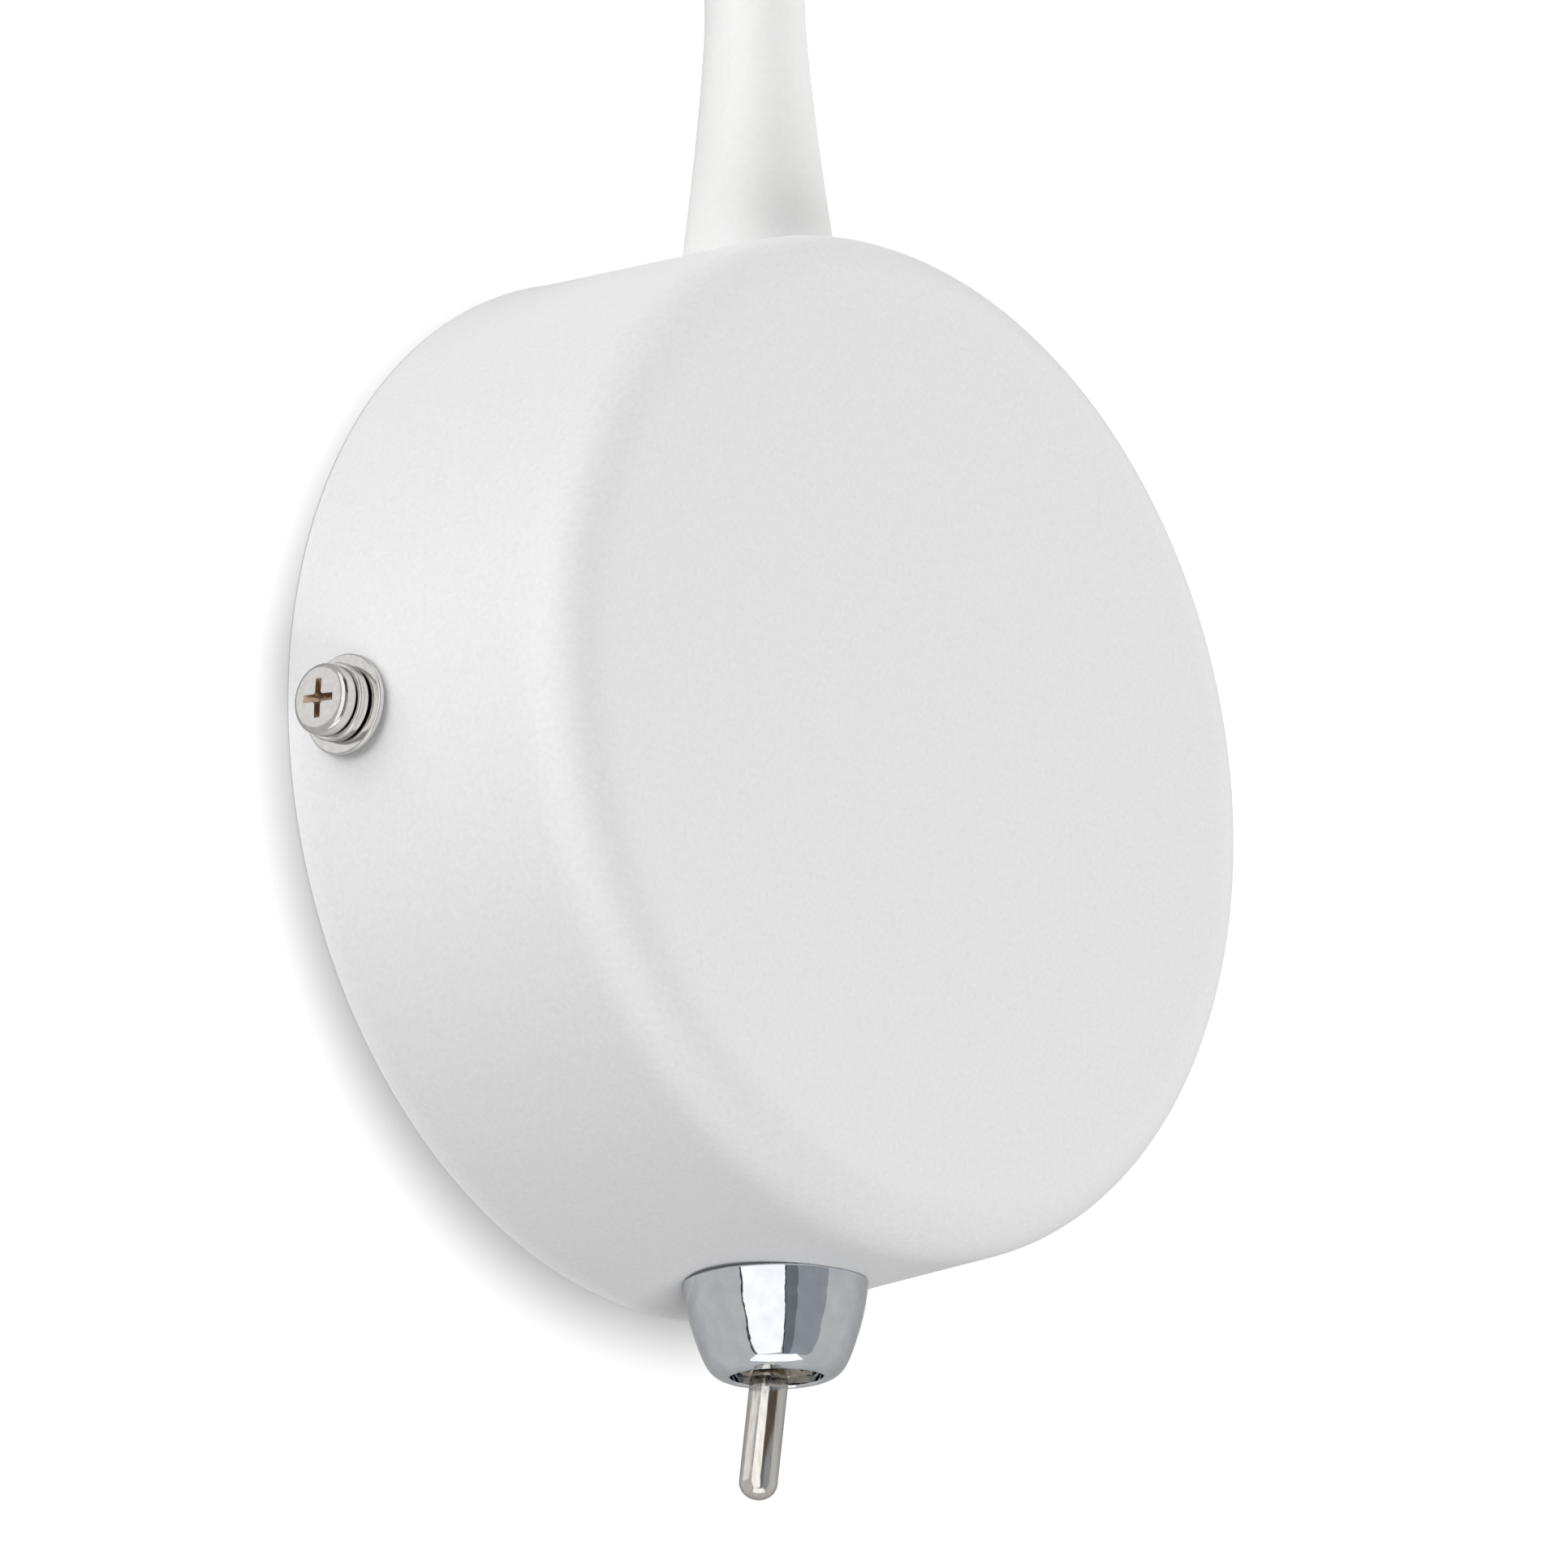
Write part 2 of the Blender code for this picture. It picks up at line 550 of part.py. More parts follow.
def make_switch_case(finish):
    """The body that holds the contacts, open below, with snaps in the frame's windows."""
    half_x = CASE_LENGTH / 2
    half_y = CASE_WIDTH / 2
    case_high = (half_x, AXIS_Y + half_y, CASE_TOP_Z)
    case = box("switch_case", (-half_x, AXIS_Y - half_y, CASE_BOTTOM_Z), case_high, finish)

    snap_half = WINDOW_WIDTH / 2 - 0.4 * MM
    snap_low = (-SNAP_REACH, AXIS_Y - snap_half, WINDOW_LOW_Z + 0.4 * MM)
    snap_high = (SNAP_REACH, AXIS_Y + snap_half, WINDOW_HIGH_Z - 0.4 * MM)
    combine(case, box("case_snap", snap_low, snap_high), "UNION")

    hollow_low = (-half_x + CASE_WALL, AXIS_Y - half_y + CASE_WALL, CASE_BOTTOM_Z - 1 * MM)
    hollow_high = (half_x - CASE_WALL, AXIS_Y + half_y - CASE_WALL, CASE_TOP_Z - CASE_ROOF)
    combine(case, box("case_hollow", hollow_low, hollow_high))

    # A rib on the open side stops the rocker there.
    rib_x = (ROCKER_LENGTH / 2 - 0.6 * MM, half_x - CASE_WALL)
    rib_half = half_y - CASE_WALL - 0.2 * MM
    rib_low = (rib_x[0], AXIS_Y - rib_half, WINDOW_LOW_Z)
    rib_high = (rib_x[1], AXIS_Y + rib_half, CASE_TOP_Z - CASE_ROOF + 0.3 * MM)
    combine(case, box("case_rib", rib_low, rib_high), "UNION")

    for index, x in enumerate((0, -TERMINAL_PITCH)):
        reach_x = TERMINAL_WIDTH / 2 + GAP
        reach_y = TERMINAL_THICKNESS / 2 + GAP
        low = (x - reach_x, AXIS_Y - reach_y, CASE_TOP_Z - CASE_ROOF - GAP)
        high = (x + reach_x, AXIS_Y + reach_y, CASE_TOP_Z + 1 * MM)
        combine(case, box(f"terminal_slot_{index}", low, high))


def lever_outline():
    """From the tail, over the ball, to the round tip. Heights are measured from the pivot, outwards down."""
    tail_meets_ball = math.sqrt(BALL_RADIUS**2 - LEVER_TAIL_RADIUS**2)
    neck_meets_ball = -math.sqrt(BALL_RADIUS**2 - LEVER_NECK**2)
    bore_end = 0.2 * MM
    start = math.degrees(math.atan2(tail_meets_ball, LEVER_TAIL_RADIUS))
    end = math.degrees(math.atan2(neck_meets_ball, LEVER_NECK))
    outline = [(0, bore_end), (LEVER_BORE, bore_end), (LEVER_BORE, LEVER_TAIL)]
    outline += [(LEVER_TAIL_RADIUS, LEVER_TAIL)]
    outline += arc((0, 0), BALL_RADIUS, start, end, 8)
    outline += [(LEVER_NECK, -LEVER_NECK_END), (LEVER_RADIUS, -LEVER_SHOULDER)]
    outline += arc((0, -LEVER_TIP + LEVER_RADIUS), LEVER_RADIUS, 0, -90, 5)[:-1]
    return outline + [(0, -LEVER_TIP)]


def make_toggle(steel, nylon):
    pivot = bpy.data.objects.new("toggle_pivot", None)
    bpy.context.scene.collection.objects.link(pivot)
    place(pivot, (0, AXIS_Y, PIVOT_Z), (0, LEVER_TILT, 0))
    place(turned("toggle_lever", lever_outline(), steel, 18), parent=pivot)

    tip = arc((0, PLUNGER_END - PLUNGER_RADIUS), PLUNGER_RADIUS, 0, 90, 4)[:-1]
    outline = [(0, PLUNGER_START), (PLUNGER_RADIUS, PLUNGER_START), *tip, (0, PLUNGER_END)]
    place(turned("plunger", outline, nylon, 14), parent=pivot)

    steps = COIL_TURNS * 9
    coil = []
    for step in range(steps + 1):
        angle = 2 * math.pi * COIL_TURNS * step / steps
        height = COIL_START + (COIL_END - COIL_START) * step / steps
        coil.append((COIL_RADIUS * math.cos(angle), COIL_RADIUS * math.sin(angle), height))
    place(round_wire("plunger_spring", coil, COIL_WIRE, steel, 0), parent=pivot)


def make_rocker(finish):
    pivot = bpy.data.objects.new("rocker_pivot", None)
    bpy.context.scene.collection.objects.link(pivot)
    place(pivot, (0, AXIS_Y, ROCKER_Z), (0, -ROCKER_TILT, 0))
    low = (-ROCKER_LENGTH / 2, -ROCKER_WIDTH / 2, -ROCKER_THICKNESS)
    high = (ROCKER_LENGTH / 2, ROCKER_WIDTH / 2, 0)
    place(box("contact_rocker", low, high, finish), parent=pivot)


def make_terminal(name, x, foot_z, foot_start, finish):
    """A solder lug with an eye, from its narrow contact foot inside the case to its end above it."""
    half = TERMINAL_WIDTH / 2
    height = TERMINAL_TOP_Z - foot_z
    shoulder = CASE_TOP_Z - CASE_ROOF + GAP - foot_z
    round_end = arc((0, height - half), half, 0, 180, 6)
    outline = [(foot_start, 0), (half, 0), *round_end, (-half, shoulder), (foot_start, shoulder)]
    terminal = extruded(name, outline, TERMINAL_THICKNESS, finish)
    place(terminal, (x, AXIS_Y + TERMINAL_THICKNESS / 2, foot_z), (math.pi / 2, 0, 0))
    drill(terminal, f"{name}_eye", (x, AXIS_Y, TERMINAL_TOP_Z - 1.3 * MM), "Y", 0.5 * MM, 3 * MM, 8)


def make_heat_shrink(name, x, finish):
    """A shrunk tube, narrower at its end around the lead than around the terminal."""
    waist = SHRINK_LENGTH * 0.75
    outline = [(SHRINK_BORE, 0), (SHRINK_RADIUS, 0), (SHRINK_RADIUS, waist)]
    outline += [(SHRINK_RADIUS - SHRINK_TAPER, SHRINK_LENGTH), (SHRINK_BORE - SHRINK_TAPER, SHRINK_LENGTH)]
    outline += [(SHRINK_BORE, waist)]
    place(turned(name, outline, finish, 14), (x, AXIS_Y, CASE_TOP_Z + 3 * GAP))


# ---- arm ------------------------------------------------------------------------------------


def sleeve_radius(height):
    share = max(0.0, 1 - height / SLEEVE_FLARE)
    return SLEEVE_RADIUS + (SLEEVE_FOOT - SLEEVE_RADIUS) * share**SLEEVE_FLARE_POWER


def make_sleeve(finish):
    """The flared sleeve over the nipple and the gooseneck, with its foot cut to the drum's curve."""
    bore = CORE_RADIUS + GAP
    ceiling = NIPPLE_SOCKET_TOP + GAP
    flange_room = NIPPLE_FLANGE + GAP
    heights = [SLEEVE_FLARE * step / 8 for step in range(9)]
    outline = [(SLEEVE_FOOT + 0.1 * MM, SLEEVE_BELOW), *[(sleeve_radius(h), h) for h in heights]]
    outline += [(SLEEVE_RADIUS, SLEEVE_TOP), (bore, SLEEVE_TOP), (bore, ceiling)]
    outline += [(SLEEVE_SOCKET_RADIUS, ceiling), (SLEEVE_SOCKET_RADIUS, SLEEVE_STEP)]
    outline += [(flange_room, SLEEVE_STEP), (flange_room, SLEEVE_BELOW)]
    sleeve = turned("arm_sleeve", outline, finish, 24)
    place(sleeve, (0, AXIS_Y, COVER_AXIS_RADIUS))
    saddle = turned("sleeve_saddle", [(0, 0), *cover_outline(FIT)], None, 96)
    place(saddle, rotation=(math.pi / 2, 0, 0))
    combine(sleeve, saddle)


def make_core(finish):
    outline = tube(CORE_BORE, CORE_RADIUS, CORE_START, FERRULE_SHOULDER - 3 * GAP)
    place(turned("gooseneck_core", outline, finish, 20), (0, AXIS_Y, COVER_AXIS_RADIUS))


def make_nipple(finish):
    """The hollow threaded rod through the cover's top, with a flange and a socket for the gooseneck."""
    socket = CORE_RADIUS + GAP
    socket_floor = CORE_START - GAP
    bottom = NIPPLE_BOTTOM_Z - COVER_AXIS_RADIUS
    outline = [(NIPPLE_BORE, bottom), (NIPPLE_RADIUS, bottom), (NIPPLE_RADIUS, NIPPLE_FLANGE_LOW)]
    outline += [(NIPPLE_FLANGE, NIPPLE_FLANGE_LOW), (NIPPLE_FLANGE, NIPPLE_FLANGE_TOP)]
    outline += [(NIPPLE_SOCKET_RADIUS, NIPPLE_FLANGE_TOP), (NIPPLE_SOCKET_RADIUS, NIPPLE_SOCKET_TOP)]
    outline += [(socket, NIPPLE_SOCKET_TOP), (socket, socket_floor), (NIPPLE_BORE, socket_floor)]
    place(turned("threaded_nipple", outline, finish, 24), (0, AXIS_Y, COVER_AXIS_RADIUS))


def make_nipple_fixings(steel, tinned):
    """What holds the nipple inside the cover, from the cover inwards: washer, earth tag and nut."""
    hole = NIPPLE_RADIUS + GAP
    washer = turned("nipple_washer", tube(0, NIPPLE_WASHER_RADIUS, 0, TAG_THICKNESS), steel, 24)
    place(washer, (0, AXIS_Y, NIPPLE_WASHER_Z))
    drill(washer, "nipple_washer_hole", (0, AXIS_Y, NIPPLE_WASHER_Z), "Z", hole, 3 * MM, 20)

    nut = extruded("nipple_nut", polygon(NIPPLE_NUT_RADIUS, 6), NIPPLE_NUT_HEIGHT, steel)
    place(nut, (0, AXIS_Y, NIPPLE_NUT_Z))
    drill(nut, "nipple_nut_hole", (0, AXIS_Y, NIPPLE_NUT_Z), "Z", hole, 3 * NIPPLE_NUT_HEIGHT, 20)

    tag = turned("cover_earth_tag", tube(0, TAG_RADIUS, 0, TAG_THICKNESS), tinned, 24)
    place(tag, (0, AXIS_Y, TAG_Z))
    neck_half = BARREL_RADIUS - 0.2 * MM
    neck_low = (TAG_X - 0.6 * MM, AXIS_Y - neck_half, TAG_Z + 0.02 * MM)
    neck_high = (-TAG_RADIUS + BARREL_RADIUS, AXIS_Y + neck_half, TAG_Z + TAG_THICKNESS - 0.02 * MM)
    combine(tag, box("tag_neck", neck_low, neck_high), "UNION")
    barrel = turned("tag_barrel", tube(0, BARREL_RADIUS, 0, TAG_BARREL_LENGTH), None, 14)
    place(barrel, (TAG_X, AXIS_Y, TAG_BARREL_Z))
    combine(tag, barrel, "UNION")
    drill(tag, "tag_hole", (0, AXIS_Y, TAG_Z), "Z", hole, 3 * MM, 20)


def make_ferrule(finish):
    """The fitting at the arm's far end: a socket over the gooseneck and an M8 spigot for a lamp."""
    socket = CORE_RADIUS + GAP
    socket_end = FERRULE_SHOULDER - 2 * GAP
    chamfer = 0.4 * MM
    outline = [(socket, FERRULE_BOTTOM), (FERRULE_COLLAR - 2 * chamfer, FERRULE_BOTTOM)]
    outline += [(FERRULE_COLLAR, FERRULE_BOTTOM + 3 * chamfer), (FERRULE_COLLAR, FERRULE_SHOULDER)]
    outline += [(FERRULE_THREAD, FERRULE_SHOULDER), (FERRULE_THREAD, FERRULE_TOP - chamfer)]
    outline += [(FERRULE_THREAD - chamfer, FERRULE_TOP), (CORE_BORE, FERRULE_TOP), (CORE_BORE, socket_end)]
    outline += [(socket, socket_end)]
    place(turned("end_ferrule", outline, finish, 24), (0, AXIS_Y, COVER_AXIS_RADIUS))


# ---- terminal block, earth screw and leads --------------------------------------------------


def make_block(plastic, brass, steel):
    half = BLOCK_LENGTH / 2
    rise = BLOCK_HEIGHT / 2
    middle_y = BLOCK_FRONT_Y + TOWER_RISE
    depth = BLOCK_BACK_Y - BLOCK_FRONT_Y
    block_high = (BLOCK_X + half, BLOCK_BACK_Y, rise)
    block = box("terminal_block", (BLOCK_X - half, middle_y, -rise), block_high, plastic)
    poles = (("neutral", BLOCK_X - POLE_OFFSET), ("live", BLOCK_X + POLE_OFFSET))
    for pole, x in poles:
        tower_rise = rise - 0.8 * MM
        low = (x - TOWER_WIDTH / 2, BLOCK_FRONT_Y, -tower_rise)
        high = (x + TOWER_WIDTH / 2, BLOCK_BACK_Y - 2 * MM, tower_rise)
        combine(block, box(f"tower_{pole}", low, high), "UNION")
    for pole, x in poles:
        make_pole(block, pole, x, depth, brass, steel)
    centre = (BLOCK_X, (BLOCK_BACK_Y + BLOCK_FRONT_Y) / 2, 0)
    drill(block, "fixing_hole", centre, "Y", BLOCK_SCREW_RADIUS + GAP + 0.05 * MM, 3 * depth, 14)
    make_block_screw(middle_y - FIT, steel)


def make_pole(block, pole, x, depth, brass, steel):
    """One pole: a brass clamp in its bore, with two screws pressing on the leads."""
    drill(block, f"bore_{pole}", (x, POLE_Y, 0), "Z", CLAMP_RADIUS + GAP, 2 * BLOCK_HEIGHT, 16)
    ring = tube(CLAMP_BORE, CLAMP_RADIUS, -CLAMP_LENGTH / 2, CLAMP_LENGTH / 2)
    clamp = turned(f"clamp_{pole}", ring, brass, 16)
    place(clamp, (x, POLE_Y, 0))
    screw_end = POLE_Y - LEAD_RADIUS - GAP
    slot_half = 0.25 * MM
    slot_depth = 0.8 * MM
    for level, where in ((-1, "lower"), (1, "upper")):
        z = level * CLAMP_SCREW_OFFSET
        access = (x, POLE_Y - depth / 2, z)
        drill(block, f"access_{pole}_{where}", access, "Y", CLAMP_SCREW_RADIUS + GAP, depth, 12)
        tapping = (x, POLE_Y - 3 * MM, z)
        drill(clamp, f"clamp_hole_{pole}_{where}", tapping, "Y", CLAMP_SCREW_RADIUS + 0.2 * MM, 6 * MM, 12)
        rod = tube(0, CLAMP_SCREW_RADIUS, 0, CLAMP_SCREW_LENGTH)
        screw = turned(f"clamp_screw_{pole}_{where}", rod, steel, 12)
        place(screw, (x, screw_end, z), (math.pi / 2, 0, 0))
        low = (x - 2 * MM, screw_end - CLAMP_SCREW_LENGTH - 1 * MM, z - slot_half)
        high = (x + 2 * MM, screw_end - CLAMP_SCREW_LENGTH + slot_depth, z + slot_half)
        combine(screw, box(f"screw_slot_{pole}_{where}", low, high))


def make_block_screw(head_y, steel):
    """The screw through the block into the bracket. Its shank ends inside the bracket's back face."""
    shank = -head_y - 0.2 * MM
    head_radius = 1.5 * BLOCK_SCREW_RADIUS
    outline = [(0, -shank), (BLOCK_SCREW_RADIUS, -shank), (BLOCK_SCREW_RADIUS, 0), (head_radius, 0)]
    outline += [(head_radius, 1.0 * MM), (BLOCK_SCREW_RADIUS, 1.5 * MM), (0, 1.6 * MM)]
    screw = turned("block_screw", outline, steel, 14)
    place(screw, (BLOCK_X, head_y, 0), (math.pi / 2, 0, 0))


def make_earth_fixing(steel, tinned):
    """A ring lug on the bracket, with its washer and screw stacked in front of it."""
    facing_front = (math.pi / 2, 0, 0)
    lug_y = -BRACKET_THICKNESS - GAP
    lug = turned("bracket_ring_lug", tube(0, LUG_RADIUS, 0, LUG_THICKNESS), tinned, 22)
    place(lug, (EARTH_X, lug_y, 0), facing_front)
    barrel = turned("lug_barrel", tube(0, BARREL_RADIUS, 0, LUG_BARREL_LENGTH), None, 14)
    place(barrel, (EARTH_X, lug_y - 1.5 * MM, LUG_RADIUS + 0.1 * MM))
    neck_half = BARREL_RADIUS - 0.1 * MM
    neck_low = (EARTH_X - neck_half, lug_y - LUG_THICKNESS + 0.02 * MM, LUG_RADIUS / 2)
    neck_high = (EARTH_X + neck_half, lug_y - 0.02 * MM, LUG_RADIUS + 1.7 * MM)
    combine(lug, box("lug_neck", neck_low, neck_high), "UNION")
    combine(lug, barrel, "UNION")
    drill(lug, "lug_hole", (EARTH_X, lug_y, 0), "Y", EARTH_HOLE_RADIUS, 4 * MM, 14)

    washer_y = lug_y - LUG_THICKNESS - FIT
    ring = tube(EARTH_HOLE_RADIUS, EARTH_WASHER_RADIUS, 0, EARTH_WASHER_THICKNESS)
    place(turned("earth_washer", ring, steel, 20), (EARTH_X, washer_y, 0), facing_front)

    head_y = washer_y - EARTH_WASHER_THICKNESS - FIT
    shank = -head_y - 0.2 * MM
    head_height = 2.3 * MM
    outline = [(0, -shank), (EARTH_SCREW_RADIUS, -shank), (EARTH_SCREW_RADIUS, 0), (EARTH_HEAD_RADIUS, 0)]
    outline += [(EARTH_HEAD_RADIUS, 1.2 * MM), (2.4 * MM, 2.1 * MM), (0, head_height)]
    screw = turned("earth_screw", outline, steel, 18)
    place(screw, (EARTH_X, head_y, 0), facing_front)
    cross = cross_outline(EARTH_SCREW_RADIUS, 0.7 * MM)
    recess = extruded("earth_recess", cross, -RECESS_DEPTH, None, 0.5)
    place(recess, (EARTH_X, head_y - head_height - 0.1 * MM, 0), facing_front)
    combine(screw, recess)


def lead_routes():
    """Hand-laid routes of the four leads, in millimetres."""
    axis = AXIS_Y / MM
    arm_top = (COVER_AXIS_RADIUS + FERRULE_TOP + ARM_TAIL) / MM
    arm = [30, 36, 42, 50, 58, 66, 74, arm_top]
    offset = LEAD_OFFSET / MM
    load = -TERMINAL_PITCH / MM
    block = BLOCK_X / MM
    pole = POLE_OFFSET / MM
    pole_y = POLE_Y / MM
    supply = [(block + pole, pole_y, 2), (block + pole, pole_y, 6), (block + pole, pole_y, 9),
              (19.5, -8, 13.5), (24.5, -10.5, 9), (25.5, -12, 0), (22, -12, -9.5), (13, -11.8, -15.8),
              (4.5, -11.5, -16.2), (0.6, -11.5, -17.8), (0, axis, -20.4), (0, axis, -22)]
    live = [(load, axis, -22), (load, axis, -20.4), (load - 0.6, -11.7, -17.6), (-9.5, -12.5, -12),
            (-15, -13.4, -4), (-16.5, -14, 5), (-12.5, -14, 15), (-5, -12.6, 23), (-offset - 0.3, axis, 27.5)]
    neutral = [(block - pole, pole_y, 2), (block - pole, pole_y, 6), (block - pole, pole_y, 9),
               (4.2, -8.2, 15), (3.4, -10.6, 21), (offset + 0.6, axis, 26.5)]
    earth = [(EARTH_X / MM, -3.3, 10.2), (EARTH_X / MM, -3.6, 12.5), (-12.5, -5.8, 17), (-11.5, -9.5, 22.5),
             (-9.8, axis, 27), (-9.6, axis, 29.3)]
    return {
        "supply_lead": supply,
        "live_lead": live + [(-offset, axis, z) for z in arm],
        "neutral_lead": neutral + [(offset, axis, z) for z in arm],
        "earth_lead": earth,
    }


def make_leads(finishes):
    for name, route in lead_routes().items():
        points = smooth_route([Vector(point) * MM for point in route], 3)
        round_wire(name, points, LEAD_RADIUS, finishes[name], 2)


# ---- assembly -------------------------------------------------------------------------------

clear_scene()

powder_coat = material("white_powder_coat", (0.83, 0.83, 0.84), 0.45)
silicone = material("white_silicone", (0.86, 0.86, 0.85), 0.6)
chrome = material("chrome_plate", (0.8, 0.81, 0.83), 0.06, 1.0)
nickel = material("nickel_plate", (0.7, 0.67, 0.62), 0.18, 1.0)
zinc = material("zinc_plated_steel", (0.6, 0.61, 0.62), 0.35, 1.0)
brass = material("brass", (0.78, 0.6, 0.3), 0.3, 1.0)
silver = material("silver_plated_copper", (0.8, 0.79, 0.76), 0.25, 1.0)
phenolic = material("phenolic_case", (0.05, 0.12, 0.3), 0.4)
nylon = material("natural_nylon", (0.8, 0.78, 0.7), 0.5)
polyamide = material("white_polyamide", (0.85, 0.85, 0.82), 0.45)
black_sleeve = material("heat_shrink", (0.02, 0.02, 0.02), 0.6)
brown_pvc = material("brown_lead", (0.2, 0.08, 0.03), 0.45)
red_pvc = material("red_lead", (0.5, 0.05, 0.04), 0.45)
blue_pvc = material("blue_lead", (0.05, 0.15, 0.5), 0.45)
green_pvc = material("green_yellow_lead", (0.1, 0.4, 0.1), 0.45)

make_cover(powder_coat)
make_bracket(zinc)
make_side_fastener(-1, "left", nickel)
make_side_fastener(1, "right", nickel)

make_dress_nut(chrome)
make_bushing(nickel)
make_lock_washer(zinc)
make_switch_frame(zinc)
make_switch_case(phenolic)
make_toggle(nickel, nylon)
make_rocker(silver)
make_terminal("common_terminal", 0, ROCKER_Z + GAP, -TERMINAL_WIDTH / 2 + FIT, silver)
make_terminal("load_terminal", -TERMINAL_PITCH, LOAD_CONTACT_Z, 0, silver)
make_heat_shrink("common_heat_shrink", 0, black_sleeve)
make_heat_shrink("load_heat_shrink", -TERMINAL_PITCH, black_sleeve)

make_sleeve(silicone)
make_core(zinc)
make_nipple(zinc)
make_nipple_fixings(zinc, silver)
make_ferrule(chrome)

make_block(polyamide, brass, zinc)
make_earth_fixing(zinc, silver)
make_leads({
    "supply_lead": brown_pvc,
    "live_lead": red_pvc,
    "neutral_lead": blue_pvc,
    "earth_lead": green_pvc,
})
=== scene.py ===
import math

import bmesh
import bpy
from mathutils import Matrix, Vector


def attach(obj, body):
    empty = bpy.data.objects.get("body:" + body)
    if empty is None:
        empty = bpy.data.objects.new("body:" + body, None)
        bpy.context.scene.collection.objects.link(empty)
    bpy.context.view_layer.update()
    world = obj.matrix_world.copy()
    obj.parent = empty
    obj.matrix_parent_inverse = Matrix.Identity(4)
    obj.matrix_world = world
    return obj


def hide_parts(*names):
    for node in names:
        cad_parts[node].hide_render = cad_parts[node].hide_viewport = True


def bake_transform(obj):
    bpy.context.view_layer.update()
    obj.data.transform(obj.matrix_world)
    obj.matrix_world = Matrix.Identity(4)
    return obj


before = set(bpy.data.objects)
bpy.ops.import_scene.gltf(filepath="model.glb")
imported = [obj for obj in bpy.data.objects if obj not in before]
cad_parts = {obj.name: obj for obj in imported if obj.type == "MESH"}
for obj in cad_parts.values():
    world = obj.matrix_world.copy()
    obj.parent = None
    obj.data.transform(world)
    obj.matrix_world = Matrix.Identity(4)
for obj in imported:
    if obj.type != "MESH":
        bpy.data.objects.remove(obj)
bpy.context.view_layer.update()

# The finish of a wall light's base: white drum, chrome dress nut, toggle, sleeved arm, and all that it holds.
# Lengths are metres; the wall is the plane Y = 0 and the front faces -Y.
mm = 0.001
axisY = -11.5 * mm  # the upright axis that the switch and the arm share
upright = Matrix.Translation((0, axisY, 0))
facingFront = Matrix.Rotation(math.pi / 2, 4, "X")  # turns local +Z to the front, -Y
clearance = 0.3 * mm  # between pieces that pass through each other
saddleGap = 0.06 * mm  # between the drum and what is shaped to sit on it
crease = 32  # edges that turn by more degrees than this stay sharp
noThread = {"radius": -1.0, "pitch": 1.0, "depth": 0.0, "low": 0.0, "high": 0.0}


# Small tools

def hexToLinear(code):
    channels = [int(code[i:i + 2], 16) / 255 for i in (1, 3, 5)]
    return tuple(c / 12.92 if c <= 0.04045 else ((c + 0.055) / 1.055) ** 2.4 for c in channels) + (1.0,)


def addNode(tree, kind, settings=None, links=None):
    node = tree.nodes.new(kind)
    for key, value in (settings or {}).items():
        if isinstance(key, str) and hasattr(node, key):
            setattr(node, key, value)
        else:
            node.inputs[key].default_value = value
    for key, source in (links or {}).items():
        tree.links.new(source, node.inputs[key])
    return node


def arc(centre, radius, start, end, steps):
    angles = [math.radians(start + (end - start) * i / steps) for i in range(steps + 1)]
    return [(centre[0] + radius * math.cos(a), centre[1] + radius * math.sin(a)) for a in angles]


def eased(corners, steps=4):
    # rounds each (x, y, radius) corner of a closed outline
    points = []
    count = len(corners)
    for i, (x, y, radius) in enumerate(corners):
        here = Vector((x, y))
        if radius <= 0:
            points.append((x, y))
            continue
        back = Vector(corners[i - 1][:2]) - here
        ahead = Vector(corners[(i + 1) % count][:2]) - here
        half = back.angle(ahead) / 2
        reach = min(radius / math.tan(half), back.length * 0.49, ahead.length * 0.49)
        back.normalize()
        ahead.normalize()
        start, end = here + back * reach, here + ahead * reach
        for step in range(steps + 1):
            t = step / steps
            bend = start * (1 - t) ** 2 + here * 2 * t * (1 - t) + end * t ** 2
            points.append((bend.x, bend.y))
    return points


def smoothRoute(points, steps):
    # points along the smooth curve through all of the given ones
    given = [Vector(p) for p in points]
    line = [2 * given[0] - given[1], *given, 2 * given[-1] - given[-2]]
    found = []
    for before, start, end, after in zip(line, line[1:], line[2:], line[3:]):
        reach = (end - start).length
        leave = (end - before).normalized() * reach
        arrive = (after - start).normalized() * reach
        for step in range(steps):
            t = step / steps
            found.append(start * (2 * t**3 - 3 * t**2 + 1) + leave * (t**3 - 2 * t**2 + t)
                         + end * (3 * t**2 - 2 * t**3) + arrive * (t**3 - t**2))
    return found + [given[-1]]


def spaced(outline, gap):
    # adds points along the straight stretches of a closed outline, so that no step is longer than the gap
    found = []
    for here, after in zip(outline, outline[1:] + outline[:1]):
        pieces = max(1, math.ceil(math.dist(here, after) / gap - 1e-6))
        found += [(here[0] + (after[0] - here[0]) * i / pieces, here[1] + (after[1] - here[1]) * i / pieces)
                  for i in range(pieces)]
    return found


def direction(azimuth, elevation):
    # from the object outwards: azimuth 0 is the front, 90 the right; elevation 90 is up
    a, e = math.radians(azimuth), math.radians(elevation)
    return Vector((math.sin(a) * math.cos(e), -math.cos(a) * math.cos(e), math.sin(e)))


def newPiece(name, data):
    piece = bpy.data.objects.new(name, data)
    bpy.context.scene.collection.objects.link(piece)
    return piece


def finalMesh(piece):
    # a new mesh with the piece's modifiers applied
    bpy.context.view_layer.update()
    graph = bpy.context.evaluated_depsgraph_get()
    evaluated = piece.evaluated_get(graph)
    return bpy.data.meshes.new_from_object(evaluated, preserve_all_data_layers=True, depsgraph=graph)


# Geometry Nodes trees

